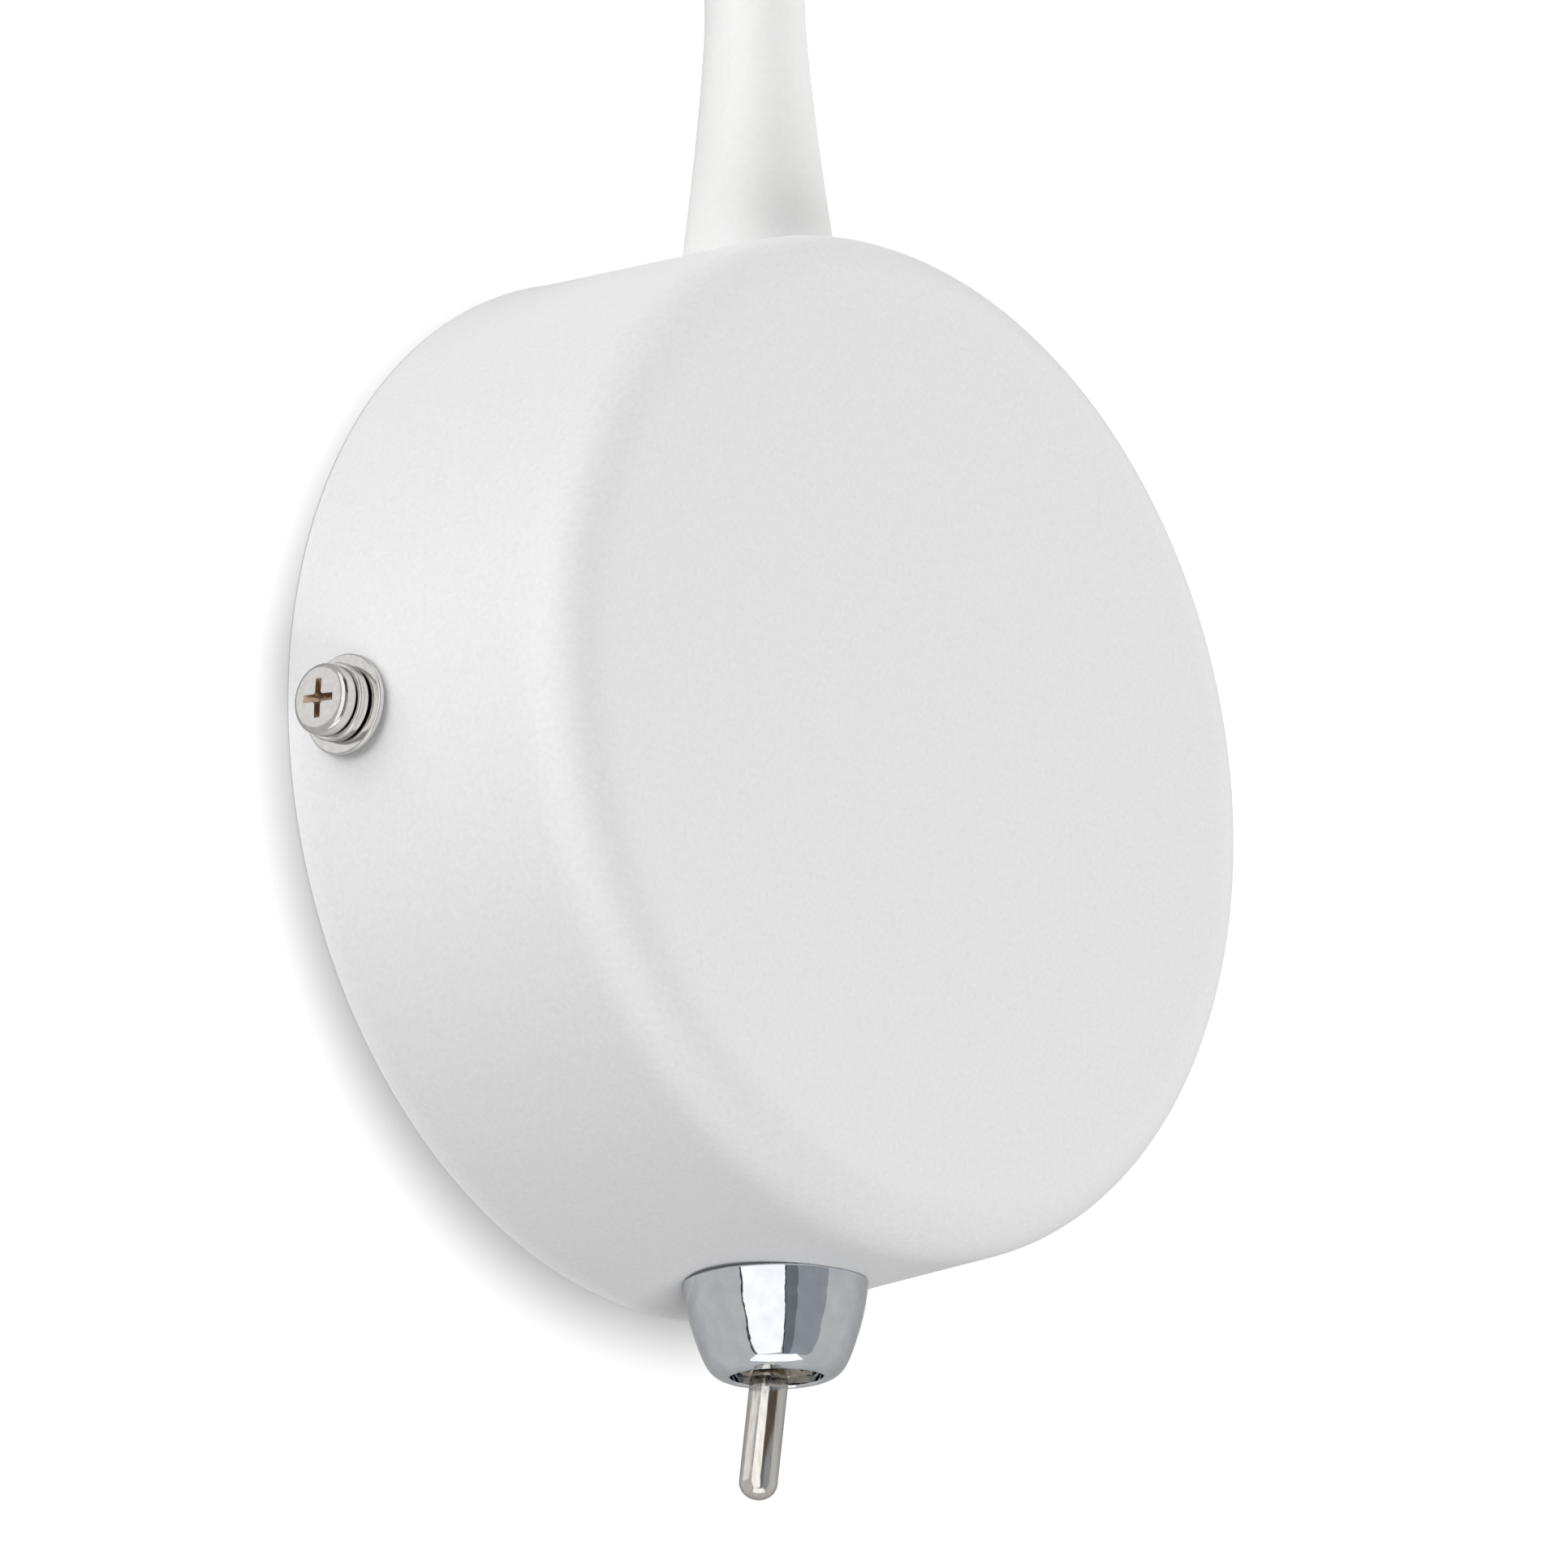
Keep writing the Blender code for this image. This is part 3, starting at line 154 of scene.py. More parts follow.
def newTree(name, sockets):
    tree = bpy.data.node_groups.new(name, "GeometryNodeTree")
    tree.interface.new_socket("Geometry", in_out="INPUT", socket_type="NodeSocketGeometry")
    for label, kind in sockets:
        tree.interface.new_socket(label, in_out="INPUT", socket_type=kind)
    tree.interface.new_socket("Geometry", in_out="OUTPUT", socket_type="NodeSocketGeometry")
    return tree


def endTree(tree, shape, material):
    # every tree ends in Realize Instances and Set Material
    real = addNode(tree, "GeometryNodeRealizeInstances", links={"Geometry": shape})
    done = addNode(tree, "GeometryNodeSetMaterial", links={"Geometry": real.outputs[0], "Material": material})
    addNode(tree, "NodeGroupOutput", links={"Geometry": done.outputs[0]})


def makeTurningTree():
    # turns an outline about Z and cuts a helical groove where the radius is the thread's
    tree = newTree("turning", [("Segments", "NodeSocketInt"), ("Thread Radius", "NodeSocketFloat"),
                               ("Thread Pitch", "NodeSocketFloat"), ("Thread Depth", "NodeSocketFloat"),
                               ("Thread Low", "NodeSocketFloat"), ("Thread High", "NodeSocketFloat"),
                               ("Material", "NodeSocketMaterial")])
    given = addNode(tree, "NodeGroupInput").outputs

    def maths(operation, first, second=0.0):
        node = addNode(tree, "ShaderNodeMath", {"operation": operation})
        for socket, value in zip(node.inputs, (first, second)):
            if isinstance(value, (int, float)):
                socket.default_value = value
            else:
                tree.links.new(value, socket)
        return node.outputs[0]

    size = addNode(tree, "GeometryNodeAttributeDomainSize", {"component": "MESH"}, {0: given["Geometry"]})
    rows = size.outputs["Point Count"]
    grid = addNode(tree, "GeometryNodeMeshGrid", {"Size X": 1.0, "Size Y": 1.0},
                   {"Vertices X": maths("ADD", given["Segments"], 1), "Vertices Y": rows})
    position = addNode(tree, "GeometryNodeInputPosition").outputs[0]
    place = addNode(tree, "ShaderNodeSeparateXYZ", links={0: position}).outputs
    share = maths("ADD", place[0], 0.5)
    row = maths("ROUND", maths("MULTIPLY", maths("ADD", place[1], 0.5), maths("SUBTRACT", rows, 1)))
    sample = addNode(tree, "GeometryNodeSampleIndex", {"data_type": "FLOAT_VECTOR", "domain": "POINT"},
                     {"Geometry": given["Geometry"], "Value": position, "Index": row})
    outline = addNode(tree, "ShaderNodeSeparateXYZ", links={0: sample.outputs[0]}).outputs
    radius, height = outline[0], outline[2]
    onThread = maths("LESS_THAN", maths("ABSOLUTE", maths("SUBTRACT", radius, given["Thread Radius"])), 1e-6)
    inside = maths("MULTIPLY", maths("GREATER_THAN", height, given["Thread Low"]),
                   maths("LESS_THAN", height, given["Thread High"]))
    turn = maths("ADD", maths("DIVIDE", height, given["Thread Pitch"]), share)
    wave = maths("MULTIPLY", maths("PINGPONG", turn, 0.5), 2)
    depth = maths("MULTIPLY", wave, given["Thread Depth"])
    cut = maths("SUBTRACT", radius, maths("MULTIPLY", depth, maths("MULTIPLY", onThread, inside)))
    angle = maths("MULTIPLY", share, 2 * math.pi)
    across = maths("MULTIPLY", cut, maths("COSINE", angle))
    along = maths("MULTIPLY", cut, maths("SINE", angle))
    wound = addNode(tree, "ShaderNodeCombineXYZ", links={0: across, 1: along, 2: height})
    moved = addNode(tree, "GeometryNodeSetPosition",
                    links={"Geometry": grid.outputs["Mesh"], "Position": wound.outputs[0]})
    merged = addNode(tree, "GeometryNodeMergeByDistance", {"Distance": 1e-6}, {"Geometry": moved.outputs[0]})
    smooth = addNode(tree, "GeometryNodeSetShadeSmooth", links={"Geometry": merged.outputs[0]})
    endTree(tree, smooth.outputs[0], given["Material"])
    return tree


def makeSweepTree():
    # a round wire along a path; "around" holds how far round the wire a point lies
    tree = newTree("sweep", [("Radius", "NodeSocketFloat"), ("Sides", "NodeSocketInt"),
                             ("Material", "NodeSocketMaterial")])
    given = addNode(tree, "NodeGroupInput").outputs
    path = addNode(tree, "GeometryNodeMeshToCurve", links={"Mesh": given["Geometry"]})
    ring = addNode(tree, "GeometryNodeCurvePrimitiveCircle",
                   links={"Resolution": given["Sides"], "Radius": given["Radius"]})
    share = addNode(tree, "GeometryNodeSplineParameter")
    marked = addNode(tree, "GeometryNodeStoreNamedAttribute",
                     {"data_type": "FLOAT", "domain": "POINT", "Name": "around"},
                     {"Geometry": ring.outputs[0], "Value": share.outputs["Factor"]})
    wire = addNode(tree, "GeometryNodeCurveToMesh", {"Fill Caps": True},
                   {"Curve": path.outputs[0], "Profile Curve": marked.outputs[0]})
    smooth = addNode(tree, "GeometryNodeSetShadeSmooth", links={"Geometry": wire.outputs[0]})
    endTree(tree, smooth.outputs[0], given["Material"])
    return tree


turningTree = makeTurningTree()
sweepTree = makeSweepTree()


def grown(name, points, tree, inputs, sharp=crease):
    # runs a tree on a line of points and keeps the result as a plain mesh
    line = bpy.data.meshes.new(name)
    edges = [(i, i + 1) for i in range(len(points) - 1)]
    line.from_pydata([tuple(p) for p in points], edges, [])
    source = newPiece(name + "Line", line)
    modifier = source.modifiers.new("grow", "NODES")
    modifier.node_group = tree
    identifiers = {item.name: item.identifier for item in tree.interface.items_tree if item.in_out == "INPUT"}
    for label, value in inputs.items():
        modifier[identifiers[label]] = value
    mesh = finalMesh(source)
    source.modifiers.clear()
    bpy.data.objects.remove(source)
    piece = newPiece(name, mesh)
    faceOutwards(mesh, sharp)
    return piece


def faceOutwards(mesh, sharp):
    # joins doubled points, turns every face outwards and shades all but the sharp edges smoothly
    bm = bmesh.new()
    bm.from_mesh(mesh)
    bmesh.ops.remove_doubles(bm, verts=bm.verts, dist=1e-7)
    bmesh.ops.dissolve_degenerate(bm, dist=1e-8, edges=bm.edges)
    bmesh.ops.recalc_face_normals(bm, faces=bm.faces)
    bm.to_mesh(mesh)
    bm.free()
    mesh.shade_smooth()
    mesh.set_sharp_from_angle(angle=math.radians(sharp))


def turned(name, outline, material, segments=96, place=Matrix.Identity(4), thread=noThread, sharp=crease):
    # an outline of (radius, height) pairs turned about Z
    points = [(r, 0, h) for r, h in outline]
    points.append(points[0])
    inputs = {"Segments": segments, "Material": material}
    for key, value in thread.items():
        inputs["Thread " + key.title()] = value
    piece = grown(name, points, turningTree, inputs, sharp)
    piece.data.transform(place)
    return piece


def swept(name, points, radius, material, sides):
    return grown(name, points, sweepTree, {"Radius": radius, "Sides": sides, "Material": material})


def solid(name, outline, depth, taper):
    # an outline extruded along Z, its far end scaled by the taper; used as a cutter
    bm = bmesh.new()
    low = [bm.verts.new((x, y, 0)) for x, y in outline]
    high = [bm.verts.new((x * taper, y * taper, depth)) for x, y in outline]
    bm.faces.new(low)
    bm.faces.new(high)
    for i in range(len(low)):
        after = (i + 1) % len(low)
        bm.faces.new((low[i], low[after], high[after], high[i]))
    bmesh.ops.recalc_face_normals(bm, faces=bm.faces)
    mesh = bpy.data.meshes.new(name)
    bm.to_mesh(mesh)
    bm.free()
    return newPiece(name, mesh)


def settle(piece, sharp):
    # applies what modifiers a piece has, so that its mesh is final
    mesh = finalMesh(piece)
    piece.modifiers.clear()
    piece.data = mesh
    mesh.shade_smooth()
    mesh.set_sharp_from_angle(angle=math.radians(sharp))
    return piece


def cutAway(piece, cutters, sharp, materials="INDEX"):
    # subtracts the cutters; TRANSFER gives the cut the cutter's own material
    for cutter in cutters:
        modifier = piece.modifiers.new("cut", "BOOLEAN")
        modifier.object = cutter
        modifier.material_mode = materials
    settle(piece, sharp)
    for cutter in cutters:
        bpy.data.objects.remove(cutter)
    return piece


def softened(name, node, width, material, sharp=35, steps=2):
    # a CAD solid with its flat faces joined up and its edges eased
    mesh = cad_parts[node].data.copy()
    bm = bmesh.new()
    bm.from_mesh(mesh)
    bmesh.ops.remove_doubles(bm, verts=bm.verts, dist=2e-6)
    bmesh.ops.dissolve_limit(bm, angle_limit=math.radians(1.5), verts=bm.verts, edges=bm.edges)
    bm.to_mesh(mesh)
    bm.free()
    if "custom_normal" in mesh.attributes:
        mesh.attributes.remove(mesh.attributes["custom_normal"])
    mesh.materials.clear()
    mesh.materials.append(material)
    piece = newPiece(name, mesh)
    easing = piece.modifiers.new("easing", "BEVEL")
    easing.width = width
    easing.segments = steps
    easing.limit_method = "ANGLE"
    easing.angle_limit = math.radians(sharp)
    return settle(piece, sharp)


def fit(piece, node, body="root"):
    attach(piece, body)
    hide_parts(node)


# Materials

def newMaterial(name, colour, roughness, metallic=0.0):
    material = bpy.data.materials.new(name)
    material.use_nodes = True
    tree = material.node_tree
    shader = tree.nodes["Principled BSDF"]
    shader.inputs["Base Color"].default_value = hexToLinear(colour)
    shader.inputs["Roughness"].default_value = roughness
    shader.inputs["Metallic"].default_value = metallic
    return material, tree, shader


def addGrain(tree, shader, colours, sizeMm, bumpMm, roughness, stretch=(1, 1, 1), turn=(0, 0, 0), detail=3.0):
    # a noise of a real size that varies the colour, the roughness and the height
    place = addNode(tree, "ShaderNodeTexCoord").outputs["Object"]
    mapping = addNode(tree, "ShaderNodeMapping", {"Scale": stretch, "Rotation": turn}, {"Vector": place})
    noise = addNode(tree, "ShaderNodeTexNoise", {"Scale": 1 / (sizeMm * mm), "Detail": detail},
                    {"Vector": mapping.outputs[0]})
    ramp = addNode(tree, "ShaderNodeValToRGB", links={"Fac": noise.outputs["Fac"]})
    for element, position, colour in zip(ramp.color_ramp.elements, (0.3, 0.7), colours):
        element.position = position
        element.color = hexToLinear(colour)
    tree.links.new(ramp.outputs["Color"], shader.inputs["Base Color"])
    bump = addNode(tree, "ShaderNodeBump", {"Strength": 1.0, "Distance": bumpMm * mm},
                   {"Height": noise.outputs["Fac"]})
    tree.links.new(bump.outputs[0], shader.inputs["Normal"])
    spread = addNode(tree, "ShaderNodeMapRange", {"To Min": roughness[0], "To Max": roughness[1]},
                     {"Value": noise.outputs["Fac"]})
    tree.links.new(spread.outputs["Result"], shader.inputs["Roughness"])


def powderCoat():
    # polyester powder coat, baked on drawn steel: matt white, with an orange peel about 0.4 mm across
    material, tree, shader = newMaterial("powderCoatWhite", "#e6e6e7", 0.5)
    addGrain(tree, shader, ("#e3e3e4", "#e9e9ea"), 0.38, 0.003, (0.46, 0.54))
    return material


def siliconeRubber():
    # moulded silicone: a dry matt white that lets light in a little at its edges
    material, tree, shader = newMaterial("siliconeMouldedWhite", "#e7e7e6", 0.6)
    shader.inputs["Subsurface Weight"].default_value = 0.25
    shader.inputs["Subsurface Radius"].default_value = (1.0, 0.9, 0.8)
    shader.inputs["Subsurface Scale"].default_value = 0.6 * mm
    shader.inputs["Sheen Weight"].default_value = 0.08
    addGrain(tree, shader, ("#e6e6e5", "#e9e9e8"), 0.5, 0.002, (0.58, 0.64))
    return material


def darkenEdges(tree, shader, share):
    # darkens a polished metal to this share of its colour where it turns away from the eye; real metal
    # doesn't do this, and it stands in for a darker room
    facing = addNode(tree, "ShaderNodeLayerWeight", {"Blend": 0.5}).outputs["Facing"]
    fade = addNode(tree, "ShaderNodeMapRange",
                   {"From Min": 0.42, "From Max": 0.95, "To Min": 1.0, "To Max": share}, {"Value": facing})
    before = shader.inputs["Base Color"].links[0].from_socket
    darker = addNode(tree, "ShaderNodeVectorMath", {"operation": "SCALE"},
                     {"Vector": before, "Scale": fade.outputs["Result"]})
    tree.links.new(darker.outputs[0], shader.inputs["Base Color"])


def chromePlate():
    # bright chrome over polished brass: a cold mirror whose reflections wander where the polish is uneven
    material, tree, shader = newMaterial("chromePolished", "#e9ecf0", 0.035, 1.0)
    addGrain(tree, shader, ("#dfe3e8", "#eef1f5"), 1.4, 0.018, (0.03, 0.06), detail=2.0)
    darkenEdges(tree, shader, 0.42)
    return material


def nickelPlate(name, colours, turn=(0, 0, 0), stretch=(1, 1, 1), sizeMm=0.5):
    # bright nickel over steel or brass: a faintly warm mirror with fine drawing marks
    material, tree, shader = newMaterial(name, colours[0], 0.12, 1.0)
    addGrain(tree, shader, colours, sizeMm, 0.0025, (0.08, 0.15), stretch, turn)
    darkenEdges(tree, shader, 0.22)
    return material


def recessShadeNickel():
    # nickel in the bottom of a recess, brown, darker and duller than the rest: painted shade of the recess
    material, tree, shader = newMaterial("nickelRecessShade", "#b39c86", 0.4, 1.0)
    addGrain(tree, shader, ("#a08a75", "#c4b09a"), 0.3, 0.006, (0.35, 0.5))
    return material


def zincPlate():
    # bright zinc over pressed steel: pale, slightly blue, with a soft crystal mottling about 1 mm across
    material, tree, shader = newMaterial("zincPlatedSteel", "#c2c7cb", 0.34, 1.0)
    addGrain(tree, shader, ("#b4babf", "#ced3d6"), 1.1, 0.006, (0.26, 0.42))
    return material


def springSteel():
    # drawn spring wire and wound strip: grey and faintly mottled
    material, tree, shader = newMaterial("springSteelDrawn", "#9a9c9e", 0.32, 1.0)
    addGrain(tree, shader, ("#8d8f92", "#a6a8aa"), 0.4, 0.003, (0.25, 0.4))
    return material


def turnedBrass():
    # brass bar, turned: yellow, with fine tool marks round it
    material, tree, shader = newMaterial("brassTurned", "#d6b36a", 0.28, 1.0)
    addGrain(tree, shader, ("#cba65c", "#dfbf7a"), 0.25, 0.003, (0.22, 0.34), (1, 1, 6))
    return material


def tinnedCopper(name, colours):
    # hot-tinned or silvered copper: soft silver, slightly uneven where the metal pooled
    material, tree, shader = newMaterial(name, colours[0], 0.26, 1.0)
    addGrain(tree, shader, colours, 0.7, 0.008, (0.2, 0.34))
    return material


def mouldedPlastic(name, colours, roughness, sizeMm=0.35, bumpMm=0.006):
    # spark-eroded mould finish: a dull gloss broken by fine grain
    material, tree, shader = newMaterial(name, colours[0], sum(roughness) / 2)
    addGrain(tree, shader, colours, sizeMm, bumpMm, roughness)
    return material


def insulation(name, colours):
    # extruded PVC: an even colour and a soft, slightly uneven gloss
    material, tree, shader = newMaterial(name, colours[0], 0.38)
    addGrain(tree, shader, colours, 0.8, 0.006, (0.33, 0.45))
    return material


def stripedInsulation():
    # green PVC with two yellow stripes run in along the lead
    material, tree, shader = newMaterial("pvcGreenYellow", "#2f8f3c", 0.38)
    addGrain(tree, shader, ("#2b8638", "#359a43"), 0.8, 0.006, (0.33, 0.45))
    around = addNode(tree, "ShaderNodeAttribute", {"attribute_name": "around"}).outputs["Fac"]
    wave = addNode(tree, "ShaderNodeMath", {"operation": "PINGPONG", 1: 0.25}, {0: around})
    edge = addNode(tree, "ShaderNodeMath", {"operation": "GREATER_THAN", 1: 0.155}, {0: wave.outputs[0]})
    green = shader.inputs["Base Color"].links[0].from_socket
    mix = addNode(tree, "ShaderNodeMix", {"data_type": "RGBA"}, {"Factor": edge.outputs[0]})
    tree.links.new(green, mix.inputs["A"])
    mix.inputs["B"].default_value = hexToLinear("#e8c91f")
    tree.links.new(mix.outputs["Result"], shader.inputs["Base Color"])
    return material


coat = powderCoat()
silicone = siliconeRubber()
chrome = chromePlate()
nickel = nickelPlate("nickelBright", ("#dad8d5", "#e6e4e2"))
recessShade = recessShadeNickel()
zinc = zincPlate()
steel = springSteel()
brass = turnedBrass()
tinned = tinnedCopper("copperTinned", ("#cfccc4", "#dedbd4"))
silver = tinnedCopper("silverPlated", ("#d9d7d0", "#e8e6e0"))
phenolic = mouldedPlastic("phenolicMouldedBlue", ("#1f4a86", "#255393"), (0.28, 0.4))
nylon = mouldedPlastic("nylonNatural", ("#e4dfd0", "#ece8da"), (0.4, 0.5))
polyamide = mouldedPlastic("polyamideNatural", ("#e9e7de", "#f0eee6"), (0.36, 0.48))
shrinkTube = mouldedPlastic("heatShrinkBlack", ("#151515", "#1d1d1d"), (0.45, 0.6), 0.5, 0.01)
brownLead = insulation("pvcBrown", ("#6b3a1f", "#764226"))
redLead = insulation("pvcRed", ("#b3231d", "#bf2c24"))
blueLead = insulation("pvcBlue", ("#2a62b5", "#326bc0"))
earthLead = stripedInsulation()
print("materials made")


# Cover

drum = {"rear": 40 * mm, "front": 39.1 * mm, "depth": 27 * mm, "wall": 1 * mm, "edge": 4.5 * mm,
        "segments": 216, "rows": 1.4 * mm, "switchHole": 3.25 * mm, "armHole": 4.2 * mm,
        "screwHole": 1.78 * mm, "holeCut": 8 * mm, "sharp": 50}
drumAtAxis = drum["rear"] + (drum["front"] - drum["rear"]) * -axisY / drum["depth"]
screwY, screwZ = -5.9 * mm, -0.9 * mm  # where the side screws pass through the drum


def drumSide(offset, steps=10):
    # outer side from the wall to the middle of the front
    centre = (drum["front"] - drum["edge"], drum["depth"] - drum["edge"])
    edge = arc(centre, drum["edge"] + offset, 2, 90, steps)
    return [(drum["rear"] + offset, 0), *edge, (0, drum["depth"] + offset)]


def makeCover():
    rear = drum["rear"]
    inside = rear - drum["wall"]
    # the trimmed edge is turned out by less than a tenth of a millimetre
    rim = [(inside, 0.08 * mm), (inside + 0.08 * mm, 0), (rear + 0.02 * mm, 0), (rear + 0.08 * mm, 0.04 * mm),
           (rear + 0.06 * mm, 0.1 * mm), (rear, 0.24 * mm)]
    inner = drumSide(-drum["wall"])[::-1]
    outline = spaced(rim + drumSide(0.0)[1:] + inner[:-1], drum["rows"])
    return turned("coverShell", outline, coat, drum["segments"], facingFront, sharp=drum["sharp"])


def drumCutter(offset):
    # the whole drum as a solid, for what is shaped to sit on it
    return turned("saddle", [(0, 0), *drumSide(offset)], coat, drum["segments"], facingFront)


def roundCutter(name, radius, centre, axis):
    turn = {"X": Matrix.Rotation(math.pi / 2, 4, "Y"), "Z": Matrix.Identity(4)}[axis]
    half = drum["holeCut"] / 2
    outline = [(0, -half), (radius, -half), (radius, half), (0, half)]
    return turned(name, outline, coat, 64, Matrix.Translation(centre) @ turn)


cover = makeCover()
cutAway(cover, [
    roundCutter("switchHole", drum["switchHole"], (0, axisY, -drum["rear"]), "Z"),
    roundCutter("armHole", drum["armHole"], (0, axisY, drum["rear"]), "Z"),
    roundCutter("leftHole", drum["screwHole"], (-drum["rear"], screwY, screwZ), "X"),
    roundCutter("rightHole", drum["screwHole"], (drum["rear"], screwY, screwZ), "X"),
], drum["sharp"])
fit(cover, "cover")
print("cover made")


# Side screws with their washers

fastener = {"seat": 39.95 * mm, "shank": 1.45 * mm, "tip": 34.5 * mm, "head": 2.7 * mm, "height": 1.4 * mm,
            "washer": 3.8 * mm, "washerThick": 0.5 * mm, "spring": 2.95 * mm, "springThick": 0.9 * mm,
            "spread": 0.15 * mm, "split": math.radians(14), "gap": 0.1 * mm, "pitch": 0.5 * mm,
            "thread": 0.28 * mm, "rows": 0.125 * mm}
cross = {"turn": math.radians(-5), "reach": 1.6 * mm, "width": 0.62 * mm, "corner": 0.16 * mm,
         "cutDepth": 0.85 * mm, "above": 0.05 * mm, "taper": 0.38}


def makeSideScrew(name, place, turn):
    f = fastener
    shank = f["seat"] + f["washerThick"] + 2 * f["gap"] + f["springThick"] + f["spread"] - f["tip"]
    outline = eased([(0, -shank, 0), (f["shank"], -shank, 0.35 * mm), (f["shank"], 0, 0),
                     (f["head"], 0, 0.22 * mm), (f["head"], f["height"] * 0.93, 0.9 * mm),
                     (0, f["height"], 0)], 7)
    thread = {"radius": f["shank"], "pitch": f["pitch"], "depth": f["thread"], "low": -shank + 0.4 * mm,
              "high": -0.6 * mm}
    screw = turned(name, spaced(outline, f["rows"]), nickel, 72, place, thread)
    reach, half, corner = cross["reach"], cross["width"] / 2, cross["corner"]
    crossOutline = []
    for quarter in range(4):
        spin = Matrix.Rotation(quarter * math.pi / 2 + turn, 2)
        for x, y in ((reach, -half), (reach, half), (half + corner, half), (half, half + corner)):
            crossOutline.append(tuple(spin @ Vector((x, y))))
    recess = solid(name + "Recess", crossOutline, -cross["cutDepth"], cross["taper"])
    # the cut gets the brown nickel, painted shade in the cross recess
    recess.data.materials.append(recessShade)
    recess.data.transform(place @ Matrix.Translation((0, 0, f["height"] + cross["above"])))
    return cutAway(screw, [recess], 28, "TRANSFER")


def makeSpringWasher(name, place):
    # one coil of square wire, split and sprung open, its edges eased
    f = fastener
    inner, outer, thick = f["shank"] + clearance, f["spring"], f["springThick"]
    section = eased([(inner, 0, 0.08 * mm), (outer, 0, 0.16 * mm), (outer, thick, 0.16 * mm),
                     (inner, thick, 0.08 * mm)], 3)
    gapAngle, steps, spread = f["split"], 72, f["spread"]
    bm = bmesh.new()
    rings = []
    for step in range(steps + 1):
        share = step / steps
        angle = gapAngle / 2 + (2 * math.pi - gapAngle) * share
        rings.append([bm.verts.new((r * math.cos(angle), r * math.sin(angle), h + spread * share))
                      for r, h in section])
    for ring, after in zip(rings, rings[1:]):
        for i in range(len(ring)):
            j = (i + 1) % len(ring)
            bm.faces.new((ring[i], ring[j], after[j], after[i]))
    bm.faces.new(rings[0])
    bm.faces.new(rings[-1])
    mesh = bpy.data.meshes.new(name)
    bm.to_mesh(mesh)
    bm.free()
    faceOutwards(mesh, 40)
    mesh.transform(place)
    mesh.materials.append(nickel)
    return newPiece(name, mesh)


def makeFlatWasher(name, place):
    f = fastener
    inner, outer, thick = f["shank"] + clearance, f["washer"], f["washerThick"]
    outline = eased([(inner, 0, 0.05 * mm), (outer, 0, 0.08 * mm), (outer, thick, 0.18 * mm),
                     (inner, thick, 0.08 * mm)], 4)
    return turned(name, outline, nickel, 96, place)


for side, label in ((-1, "Left"), (1, "Right")):
    f = fastener
    outwards = Matrix.Rotation(side * math.pi / 2, 4, "Y")
    node = label.lower()
    seats = [f["seat"], f["seat"] + f["washerThick"] + f["gap"]]
    seats.append(seats[1] + f["springThick"] + f["gap"] + f["spread"])
    places = [Matrix.Translation((side * x, screwY, screwZ)) @ outwards for x in seats]
    fit(makeFlatWasher("flatWasher" + label, places[0]), "flat_washer_" + node)
    fit(makeSpringWasher("springWasher" + label, places[1]), "spring_washer_" + node)
    screwTurn = cross["turn"] * (1 if side < 0 else -2)
    fit(makeSideScrew("sideScrew" + label, places[2], screwTurn), "side_screw_" + node)
print("side screws made")


# Switch: dress nut, bushing, toggle and what is behind them

switch = {"pivotZ": -42 * mm, "tilt": math.radians(10), "bushing": 2.95 * mm, "bore": 2.45 * mm,
          "throat": 1.75 * mm, "end": -45.98 * mm, "flange": 3.6 * mm, "flangeHeight": 0.8 * mm,
          "frameZ": -37.3 * mm, "frameThick": 0.4 * mm, "m6": 0.75 * mm, "thread": 0.36 * mm,
          "rows": 0.14 * mm, "caseTop": -26.8 * mm, "pitch": 4.7 * mm}
nut = {"rimZ": -39.23 * mm, "height": 7.3 * mm, "mouth": 3.5 * mm, "threadTop": 1.2 * mm, "pocket": 4.4 * mm,
       "rim": 6.9 * mm, "sharp": 40}
lever = {"radius": 1.45 * mm, "neck": 1.15 * mm, "tip": 14.2 * mm, "tail": 4.6 * mm, "tailRadius": 1.4 * mm,
         "bore": 0.95 * mm, "boreEnd": 0.2 * mm, "ball": 2.1 * mm, "nose": 1.3 * mm, "plunger": 0.7 * mm,
         "plungerStart": 3.3 * mm, "plungerEnd": 8.2 * mm}


def makeDressNut():
    # a cone with a swollen side, rounded into its mouth, and with a pocket above its thread
    height, mouth, top = nut["height"], nut["mouth"], nut["threadTop"]
    side = smoothRoute([(7.0 * mm, 0.12 * mm, 0), (6.58 * mm, 2.5 * mm, 0), (5.78 * mm, 5.1 * mm, 0),
                        (5.15 * mm, 6.45 * mm, 0), (4.55 * mm, 7.05 * mm, 0), (4.0 * mm, height, 0)], 6)
    bore = switch["bushing"] + clearance
    outline = [(nut["rim"], 0)] + [(p.x, -p.y) for p in side]
    outline += [(mouth + 0.14 * mm, -height + 0.02 * mm), (mouth, -height + 0.16 * mm), (mouth, -6.05 * mm),
                (bore + 0.1 * mm, -6.0 * mm), (bore, -5.9 * mm), (bore, -top), (nut["pocket"], -top),
                (nut["pocket"], 0)]
    place = upright @ Matrix.Translation((0, 0, nut["rimZ"]))
    piece = turned("dressNut", outline, chrome, 144, place, sharp=nut["sharp"])
    return cutAway(piece, [drumCutter(saddleGap)], nut["sharp"])


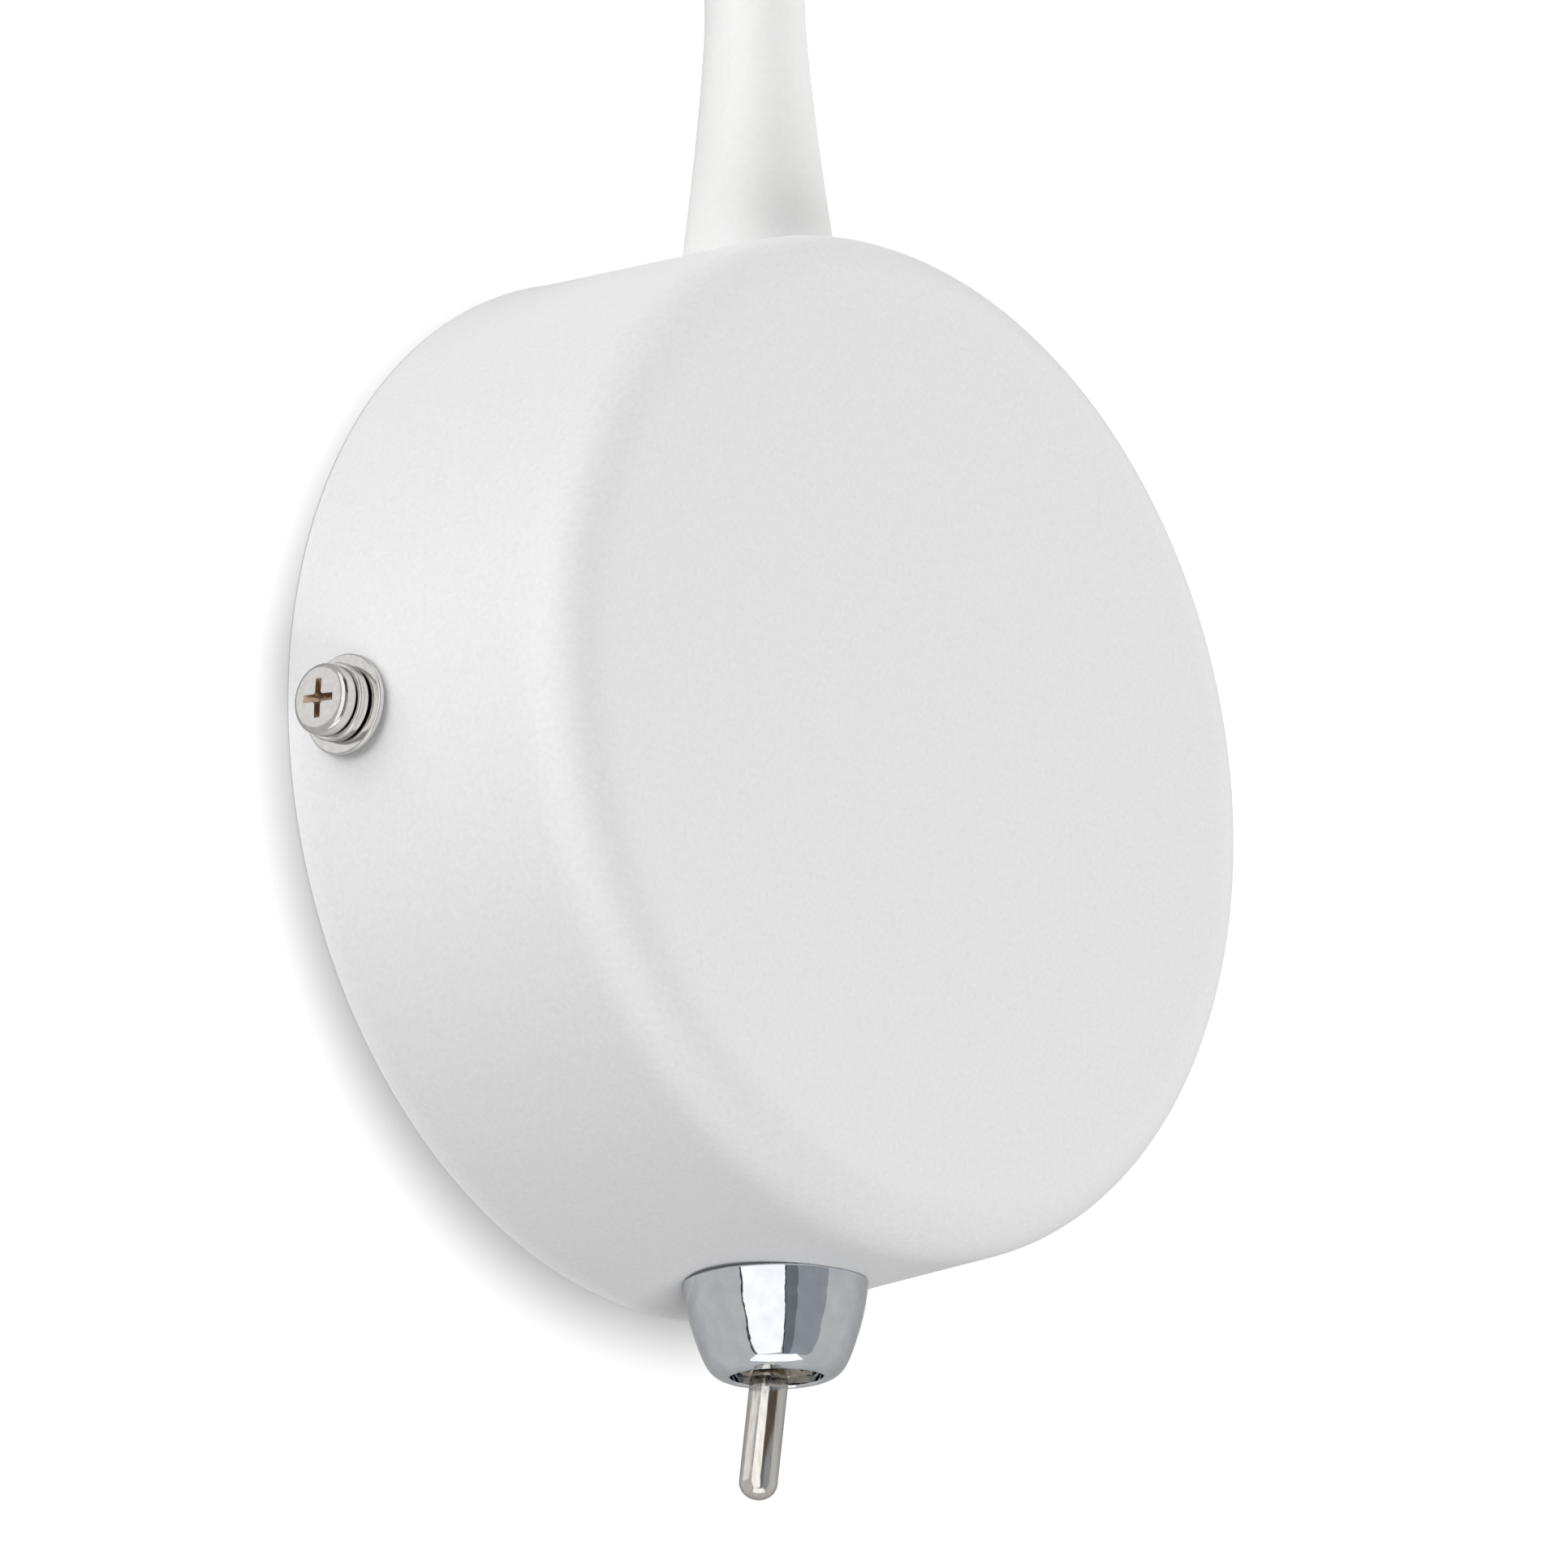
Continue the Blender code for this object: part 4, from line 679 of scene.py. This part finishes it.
def makeBushing(material):
    s = switch
    low = s["frameZ"] + s["frameThick"] + clearance
    high = low + s["flangeHeight"]
    bore, outer, end = s["bore"], s["bushing"], s["end"]
    seat = bore - 0.05 * mm
    dished = arc((0, s["pivotZ"]), seat, -2, -math.degrees(math.acos(s["throat"] / seat)), 6)
    outline = [(bore, high), (bore, s["pivotZ"]), *dished, (bore - 0.08 * mm, end + 0.1 * mm),
               (bore + 0.02 * mm, end), (outer - 0.22 * mm, end), (outer, end + 0.3 * mm), (outer, low),
               (s["flange"], low), (s["flange"], high)]
    thread = {"radius": outer, "pitch": s["m6"], "depth": s["thread"], "low": end + 0.35 * mm,
              "high": s["frameZ"] - clearance}
    return turned("switchBushing", spaced(outline, s["rows"]), material, 72, upright, thread)


def makeLever(material):
    v = lever
    radius, neck, tail, tailRadius, nose = v["radius"], v["neck"], v["tail"], v["tailRadius"], v["nose"]
    up, down = math.sqrt(v["ball"]**2 - tailRadius**2), math.sqrt(v["ball"]**2 - neck**2)
    ballStart, ballEnd = math.degrees(math.atan2(up, tailRadius)), math.degrees(math.atan2(-down, neck))
    ball = arc((0, 0), v["ball"], ballStart, ballEnd, 16)
    bullet = arc((radius - nose, -v["tip"] + nose), nose, 0, -90, 9)
    outline = [(0, v["boreEnd"]), (v["bore"], v["boreEnd"]), (v["bore"], tail), (tailRadius - 0.1 * mm, tail),
               (tailRadius, tail - 0.1 * mm), *ball, (neck, -3.7 * mm), (radius - 0.05 * mm, -4.8 * mm),
               (radius, -5.05 * mm), *bullet, (0, -v["tip"])]
    return turned("toggleLever", outline, material, 72, toggleFrame)


toggleFrame = upright @ Matrix.Translation((0, 0, switch["pivotZ"])) @ Matrix.Rotation(switch["tilt"], 4, "Y")
drawnNickel = nickelPlate("nickelDrawn", ("#d6d0c8", "#f2efea"), (0, -switch["tilt"], 0), (1, 1, 0.06), 0.22)
# the bushing's nickel is painted darker and browner: painted shade inside the dress nut's mouth
mouthShadeNickel = nickelPlate("nickelBarrelShaded", ("#a29a8f", "#b9b2a8"))
fit(makeDressNut(), "dress_nut")
fit(makeBushing(mouthShadeNickel), "switch_bushing")
fit(makeLever(drawnNickel), "toggle_lever", "toggle")

plungerRadius, plungerStart, plungerEnd = lever["plunger"], lever["plungerStart"], lever["plungerEnd"]
plungerOutline = [(0, plungerStart), (plungerRadius - 0.06 * mm, plungerStart), (plungerRadius, 3.36 * mm),
                  *arc((0, plungerEnd - plungerRadius), plungerRadius, 0, 90, 8)[:-1], (0, plungerEnd)]
fit(turned("togglePlunger", plungerOutline, nylon, 32, toggleFrame), "plunger", "toggle")

coil = {"turns": 4, "low": 0.65 * mm, "high": 2.95 * mm, "radius": 0.55 * mm, "wire": 0.13 * mm,
        "stepsEach": 24}
coilSteps = coil["turns"] * coil["stepsEach"]
coilPath = []
for step in range(coilSteps + 1):
    turn = 2 * math.pi * coil["turns"] * step / coilSteps
    height = coil["low"] + (coil["high"] - coil["low"]) * step / coilSteps
    x, y = coil["radius"] * math.cos(turn), coil["radius"] * math.sin(turn)
    coilPath.append(toggleFrame @ Vector((x, y, height)))
fit(swept("toggleSpring", coilPath, coil["wire"], steel, 10), "plunger_spring", "toggle")

for name, node, width, material, slot in (
        ("switchFrame", "switch_frame", 0.12 * mm, zinc, "zinc"),
        ("switchCase", "switch_case", 0.2 * mm, phenolic, "phenolic"),
        ("lockWasher", "lock_washer", 0.06 * mm, zinc, "zinc"),
        ("commonTerminal", "common_terminal", 0.08 * mm, silver, "silver"),
        ("loadTerminal", "load_terminal", 0.08 * mm, silver, "silver")):
    fit(softened(name, node, width, material), node)
fit(softened("contactRocker", "contact_rocker", 0.1 * mm, silver), "contact_rocker", "rocker")

# the tube's radii and heights in millimetres: up its outside and down its inside
shrink = {"lift": 0.9 * mm, "sharp": 60, "outline": [
    (1.5, 0), (1.62, -0.02), (1.85, 0.1), (1.83, 1.6), (1.78, 3.0), (1.8, 4.3), (1.62, 5.3), (1.5, 6.0),
    (1.3, 6.0), (1.3, 5.2), (1.5, 4.3)]}
for name, node, x in (("commonHeatShrink", "common_heat_shrink", 0),
                      ("loadHeatShrink", "load_heat_shrink", -switch["pitch"])):
    tube = [(r * mm, h * mm) for r, h in shrink["outline"]]
    place = upright @ Matrix.Translation((x, 0, switch["caseTop"] + shrink["lift"]))
    fit(turned(name, tube, shrinkTube, 40, place, sharp=shrink["sharp"]), node)
print("switch made")


# Arm: sleeve, gooseneck, nipple and ferrule

arm = {"radius": 3.87 * mm, "foot": 5.98 * mm, "flare": 19.8 * mm, "power": 1.3, "low": -1.2 * mm,
       "top": 26 * mm, "core": 3 * mm, "coreBore": 2.2 * mm, "nipple": 3.9 * mm, "nippleBore": 2.4 * mm,
       "nippleLow": 30.5 * mm, "step": 0.35 * mm, "flange": 4.9 * mm, "flangeTop": 2.2 * mm, "stem": 4.0 * mm,
       "socket": 5.5 * mm, "ferruleLow": 26.3 * mm, "shoulder": 30.5 * mm, "ferruleTop": 37 * mm,
       "collar": 5.5 * mm, "m8": 1.0 * mm, "thread": 0.5 * mm, "rows": 0.16 * mm, "winding": 1.25 * mm,
       "windingDepth": 0.4 * mm, "windingRows": 0.2 * mm, "tail": 10 * mm, "bare": 4.5 * mm}
armFoot = upright @ Matrix.Translation((0, 0, drumAtAxis))


def bends(piece, node):
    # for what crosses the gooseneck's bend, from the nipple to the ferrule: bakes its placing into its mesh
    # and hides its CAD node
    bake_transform(piece)
    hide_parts(node)
    return piece


def sleeveRadius(height):
    share = max(0.0, 1 - height / arm["flare"])
    return arm["radius"] + (arm["foot"] - arm["radius"]) * share ** arm["power"]


def makeSleeve():
    # flared at its foot, with room inside for the nipple, and with rows every 0.5 mm outside and 1 mm inside
    radius, low, top = arm["radius"], arm["low"], arm["top"]
    bore, flange = arm["core"] + clearance, arm["flange"] + clearance
    stem, stemTop, flangeTop = 4.3 * mm, arm["socket"] + clearance, 2.6 * mm
    outline = [(sleeveRadius(0) + 0.07 * mm, low)]
    outline += [(sleeveRadius(h * mm / 2), h * mm / 2) for h in range(0, 51)]
    outline += [(radius, top - 0.14 * mm), (radius - 0.04 * mm, top - 0.04 * mm), (radius - 0.14 * mm, top),
                (bore + 0.05 * mm, top), (bore, top - 0.05 * mm)]
    outline += [(bore, h * mm) for h in range(25, 6, -1)]
    outline += [(bore, stemTop), (stem, stemTop), (stem, flangeTop), (flange, flangeTop), (flange, low)]
    piece = turned("armSleeve", outline, silicone, 96, armFoot, sharp=50)
    return cutAway(piece, [drumCutter(saddleGap)], 50)


def makeCore():
    low, high = 1.2 * mm, arm["shoulder"] - 0.9 * mm
    outline = [(arm["coreBore"], low), (arm["core"], low), (arm["core"], high), (arm["coreBore"], high)]
    windings = {"radius": arm["core"], "pitch": arm["winding"], "depth": arm["windingDepth"],
                "low": low + 0.2 * mm, "high": high - 0.2 * mm}
    outline = spaced(outline, arm["windingRows"])
    return turned("gooseneckCore", outline, steel, 48, armFoot, windings, sharp=60)


def makeNipple():
    a = arm
    low, socket, socketFloor = a["nippleLow"] - drumAtAxis, a["core"] + clearance, 0.9 * mm
    bore, radius, flange, step, top = a["nippleBore"], a["nipple"], a["flange"], a["step"], a["flangeTop"]
    outline = [(bore, low), (radius - 0.5 * mm, low), (radius, low + 0.5 * mm), (radius, step),
               (flange, step), (flange, 2.1 * mm), (flange - 0.1 * mm, top), (a["stem"], top),
               (a["stem"], a["socket"]), (socket, a["socket"]), (socket, socketFloor), (bore, socketFloor)]
    thread = {"radius": radius, "pitch": a["m8"], "depth": a["thread"], "low": low + 0.55 * mm,
              "high": -0.6 * mm}
    return turned("threadedNipple", spaced(outline, a["rows"]), zinc, 72, armFoot, thread)


def makeFerrule():
    a = arm
    socket, low, shoulder, top = a["core"] + clearance, a["ferruleLow"], a["shoulder"], a["ferruleTop"]
    collar, spigot, bore, rounding = a["collar"], a["nipple"], a["coreBore"], 0.9 * mm
    outline = [(socket, low), (collar - 0.8 * mm, low),
               *arc((collar - rounding, low + 1.0 * mm), rounding, -60, 0, 5),
               (collar, shoulder - 0.2 * mm), (collar - 0.06 * mm, shoulder - 0.06 * mm),
               (collar - 0.2 * mm, shoulder), (spigot, shoulder), (spigot, top - 0.45 * mm),
               (spigot - 0.45 * mm, top), (bore + 0.1 * mm, top), (bore, top - 0.1 * mm),
               (bore, shoulder - 0.6 * mm), (socket, shoulder - 0.6 * mm)]
    thread = {"radius": spigot, "pitch": a["m8"], "depth": a["thread"], "low": shoulder + 0.7 * mm,
              "high": top - 0.5 * mm}
    return turned("endFerrule", spaced(outline, a["rows"]), chrome, 96, armFoot, thread)


sleeve = bends(makeSleeve(), "arm_sleeve")
bends(makeCore(), "gooseneck_core")
fit(makeNipple(), "threaded_nipple")
fit(makeFerrule(), "end_ferrule", "arm_tip")
fit(softened("nippleWasher", "nipple_washer", 0.08 * mm, zinc), "nipple_washer")
fit(softened("nippleNut", "nipple_nut", 0.3 * mm, zinc), "nipple_nut")
fit(softened("coverEarthTag", "cover_earth_tag", 0.08 * mm, tinned), "cover_earth_tag")
print("arm made")


# Bracket, terminal block, earth screw and leads

for name, node, width, material, slot in (
        ("wallBracket", "wall_bracket", 0.22 * mm, zinc, "zinc"),
        ("terminalBlock", "terminal_block", 0.3 * mm, polyamide, "polyamide"),
        ("clampLive", "clamp_live", 0.08 * mm, brass, "brass"),
        ("clampNeutral", "clamp_neutral", 0.08 * mm, brass, "brass"),
        ("blockScrew", "block_screw", 0.1 * mm, zinc, "zinc"),
        ("bracketRingLug", "bracket_ring_lug", 0.08 * mm, tinned, "tinned_copper"),
        ("earthWasher", "earth_washer", 0.08 * mm, zinc, "zinc"),
        ("earthScrew", "earth_screw", 0.12 * mm, zinc, "zinc")):
    fit(softened(name, node, width, material), node)
for pole in ("live", "neutral"):
    for level in ("upper", "lower"):
        node = f"clamp_screw_{pole}_{level}"
        fit(softened(f"clampScrew{pole.title()}{level.title()}", node, 0.08 * mm, zinc), node)

# offset, earthX, blockX, pole and poleY are in millimetres, as the routes are
lead = {"radius": 0.8 * mm, "core": 0.45 * mm, "overlap": 0.2 * mm, "offset": 0.95, "earthX": -12.0,
        "blockX": 9.0, "pole": 5.0, "poleY": -6.8}


def leadRoutes():
    # routes in millimetres, given point by point, the same as the frame's
    axis = axisY / mm
    offset, load = lead["offset"], -switch["pitch"] / mm
    nearPole, farPole = lead["blockX"] - lead["pole"], lead["blockX"] + lead["pole"]
    earthX, poleY = lead["earthX"], lead["poleY"]
    top = (drumAtAxis + arm["ferruleTop"] + arm["tail"] - arm["bare"]) / mm
    rise = [30, 36, 42, 50, 58, 66, 74, top]
    supply = [(farPole, poleY, 2), (farPole, poleY, 6), (farPole, poleY, 9), (19.5, -8, 13.5),
              (24.5, -10.5, 9), (25.5, -12, 0), (22, -12, -9.5), (13, -11.8, -15.8), (4.5, -11.5, -16.2),
              (0.6, -11.5, -17.8), (0, axis, -20.4), (0, axis, -22)]
    live = [(load, axis, -22), (load, axis, -20.4), (load - 0.6, -11.7, -17.6), (-9.5, -12.5, -12),
            (-15, -13.4, -4), (-16.5, -14, 5), (-12.5, -14, 15), (-5, -12.6, 23), (-offset - 0.3, axis, 27.5)]
    neutral = [(nearPole, poleY, 2), (nearPole, poleY, 6), (nearPole, poleY, 9), (4.2, -8.2, 15),
               (3.4, -10.6, 21), (offset + 0.6, axis, 26.5)]
    earth = [(earthX, -3.3, 10.0), (earthX, -3.6, 12.5), (-12.5, -5.8, 17), (-11.5, -9.5, 22.5),
             (-9.8, axis, 27), (-9.6, axis, 29.5)]
    return {"supply": supply, "live": live + [(-offset, axis, z) for z in rise],
            "neutral": neutral + [(offset, axis, z) for z in rise], "earth": earth}


def makeLead(name, route, material):
    return swept(name, smoothRoute([Vector(p) * mm for p in route], 8), lead["radius"], material, 20)


routes = leadRoutes()
fit(makeLead("supplyLead", routes["supply"], brownLead), "supply_lead")
fit(makeLead("earthLead", routes["earth"], earthLead), "earth_lead")
bends(makeLead("liveLead", routes["live"], redLead), "live_lead")
bends(makeLead("neutralLead", routes["neutral"], blueLead), "neutral_lead")
# the bare ends of the two leads that leave the arm
for name, side in (("liveLeadEnd", -1), ("neutralLeadEnd", 1)):
    low = Vector((side * lead["offset"] * mm, axisY, routes["live"][-1][2] * mm - lead["overlap"]))
    path = [low + Vector((0, 0, arm["bare"] * i / 6)) for i in range(7)]
    end = swept(name, path, lead["core"], tinned, 16)
    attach(end, "arm_tip")
print("bracket, block and leads made")


# Studio: white wall, pale floor, soft lights and a camera below and to the left

def planeAt(name, size, place, material):
    mesh = bpy.data.meshes.new(name)
    half = size / 2
    corners = [(-half, -half, 0), (half, -half, 0), (half, half, 0), (-half, half, 0)]
    mesh.from_pydata(corners, [], [(0, 1, 2, 3)])
    mesh.transform(place)
    mesh.materials.append(material)
    made = newPiece(name, mesh)
    return made


def stageMaterial(name, colour, glow):
    # painted board, matt; its back is clear, so that it never hides the object
    material, tree, shader = newMaterial(name, colour, 0.9)
    shader.inputs["Specular IOR Level"].default_value = 0.0
    shader.inputs["Emission Color"].default_value = (1, 1, 1, 1)
    shader.inputs["Emission Strength"].default_value = glow
    clear = addNode(tree, "ShaderNodeBsdfTransparent")
    side = addNode(tree, "ShaderNodeNewGeometry").outputs["Backfacing"]
    mix = addNode(tree, "ShaderNodeMixShader", links={0: side, 1: shader.outputs[0], 2: clear.outputs[0]})
    tree.links.new(mix.outputs[0], tree.nodes["Material Output"].inputs["Surface"])
    return material


# soft is the world's strength as light on the object, mirrored its strength in glossy reflections
studio = {"wallGlow": 0.3, "wallGap": 0.05 * mm, "wallSize": 6, "floorGlow": 0.25, "floorZ": -0.6,
          "floorSize": 8, "world": "#bcbcbc", "soft": 0.49, "mirrored": 1.02, "lightDistance": 2.0,
          "aim": (0, -0.01, 0), "nutCentre": (0, -0.0115, -0.044)}
wallPlace = Matrix.Translation((0, studio["wallGap"], 0)) @ facingFront
wallPaint = stageMaterial("wallPaint", "#898989", studio["wallGlow"])
wall = planeAt("wall", studio["wallSize"], wallPlace, wallPaint)
floorPlace = Matrix.Translation((0, 0, studio["floorZ"]))
floorPaint = stageMaterial("floorPaint", "#d8d8d8", studio["floorGlow"])
floor = planeAt("floor", studio["floorSize"], floorPlace, floorPaint)
for board in (wall, floor):
    board.visible_shadow = False
    board.visible_diffuse = False
    board.visible_glossy = False

scene = bpy.context.scene
scene.view_settings.view_transform = "Standard"
world = bpy.data.worlds.new("studio")
scene.world = world
world.use_nodes = True
background = world.node_tree.nodes["Background"]
background.inputs["Color"].default_value = hexToLinear(studio["world"])
rays = addNode(world.node_tree, "ShaderNodeLightPath")
brightness = addNode(world.node_tree, "ShaderNodeMapRange",
                     {"To Min": studio["soft"], "To Max": studio["mirrored"]},
                     {"Value": rays.outputs["Is Glossy Ray"]})
world.node_tree.links.new(brightness.outputs["Result"], background.inputs["Strength"])


def addLight(name, azimuth, elevation, size, power):
    # a round lamp, its size in metres and its power in watts; polished metal doesn't mirror it
    away = direction(azimuth, elevation)
    data = bpy.data.lights.new(name, "AREA")
    data.shape = "DISK"
    data.size = size
    data.energy = power
    light = newPiece(name, data)
    light.location = Vector(studio["aim"]) + away * studio["lightDistance"]
    light.rotation_euler = away.to_track_quat("Z", "Y").to_euler()
    light.visible_camera = False
    light.visible_glossy = False
    return light


def addCard(name, azimuth, elevation, width, height, colour, strength, distance=0.5):
    # a card that only polished metal sees, turned to the dress nut
    away = direction(azimuth, elevation)
    material = bpy.data.materials.new(name)
    material.use_nodes = True
    tree = material.node_tree
    tree.nodes.remove(tree.nodes["Principled BSDF"])
    glow = addNode(tree, "ShaderNodeEmission", {"Color": hexToLinear(colour), "Strength": strength})
    tree.links.new(glow.outputs[0], tree.nodes["Material Output"].inputs["Surface"])
    turn = away.to_track_quat("Z", "Y").to_matrix().to_4x4()
    spot = Matrix.Translation(Vector(studio["nutCentre"]) + away * distance)
    card = planeAt(name, 1, spot @ turn @ Matrix.Diagonal((width, height, 1, 1)), material)
    card.visible_camera = card.visible_diffuse = card.visible_shadow = card.visible_transmission = False


def group(name, *members):
    made = bpy.data.collections.new(name)
    for member in members:
        made.objects.link(member)
    return made


addLight("fillUpperLeft", -80, 38, 2.4, 12.8)
addLight("fillLeft", -110, 30, 2.4, 30)
addLight("keyRight", 60, 10, 1.4, 16)
addLight("keyUpperRight", 60, 50, 1.0, 14)
addLight("fillBelow", -20, -45, 1.4, 25)
# this one lights the wall alone, and only the drum stands in its way
wallWash = addLight("wallWash", 4.75, 7.0, 0.61, 97)
wallWash.light_linking.receiver_collection = group("washed", wall)
wallWash.light_linking.blocker_collection = group("castsOnWall", cover)
# and this one the arm's sleeve alone
armFill = addLight("armFill", -15, 8, 1.4, 3.5)
armFill.light_linking.receiver_collection = group("armOnly", sleeve)
addCard("whiteCard", -63, 5, 0.52, 1.6, "#ffffff", 1.17)
addCard("darkCard", -7, 5, 0.54, 1.6, "#94989b", 1.0)
addCard("edgeCardLeft", -91, 5, 0.022, 1.6, "#3a3c3e", 1.0, 0.48)
addCard("edgeCardRight", -35, 5, 0.022, 1.6, "#3a3c3e", 1.0, 0.48)
addCard("shadeCard", -27, 5, 0.13, 1.6, "#6f7477", 1.0, 0.47)
addCard("brownCard", -8, 38, 0.4, 0.3, "#5a4f44", 1.0, 0.44)
addCard("lowCard", -48, -75, 0.5, 0.3, "#ffffff", 1.2)
addCard("sideCard", -130, 24, 0.4, 0.3, "#ffffff", 0.85)

view = {"azimuth": -48.302, "elevation": -14.213, "roll": -0.934, "distance": 1.0, "right": 9.83 * mm,
        "up": 1.26 * mm, "lens": 302.1, "sensor": 36}


def addCamera():
    roll = math.radians(view["roll"])
    back = direction(view["azimuth"], view["elevation"])
    across = Vector((0, 0, 1)).cross(back).normalized()
    upwards = back.cross(across)
    right = across * math.cos(roll) + upwards * math.sin(roll)
    up = upwards * math.cos(roll) - across * math.sin(roll)
    spot = right * view["right"] + up * view["up"] + back * view["distance"]
    data = bpy.data.cameras.new("camera")
    data.sensor_width = view["sensor"]
    data.lens = view["lens"]
    camera = newPiece("camera", data)
    camera.matrix_world = Matrix((right, up, back)).transposed().to_4x4()
    camera.location = spot
    scene.camera = camera


addCamera()
print("studio made")
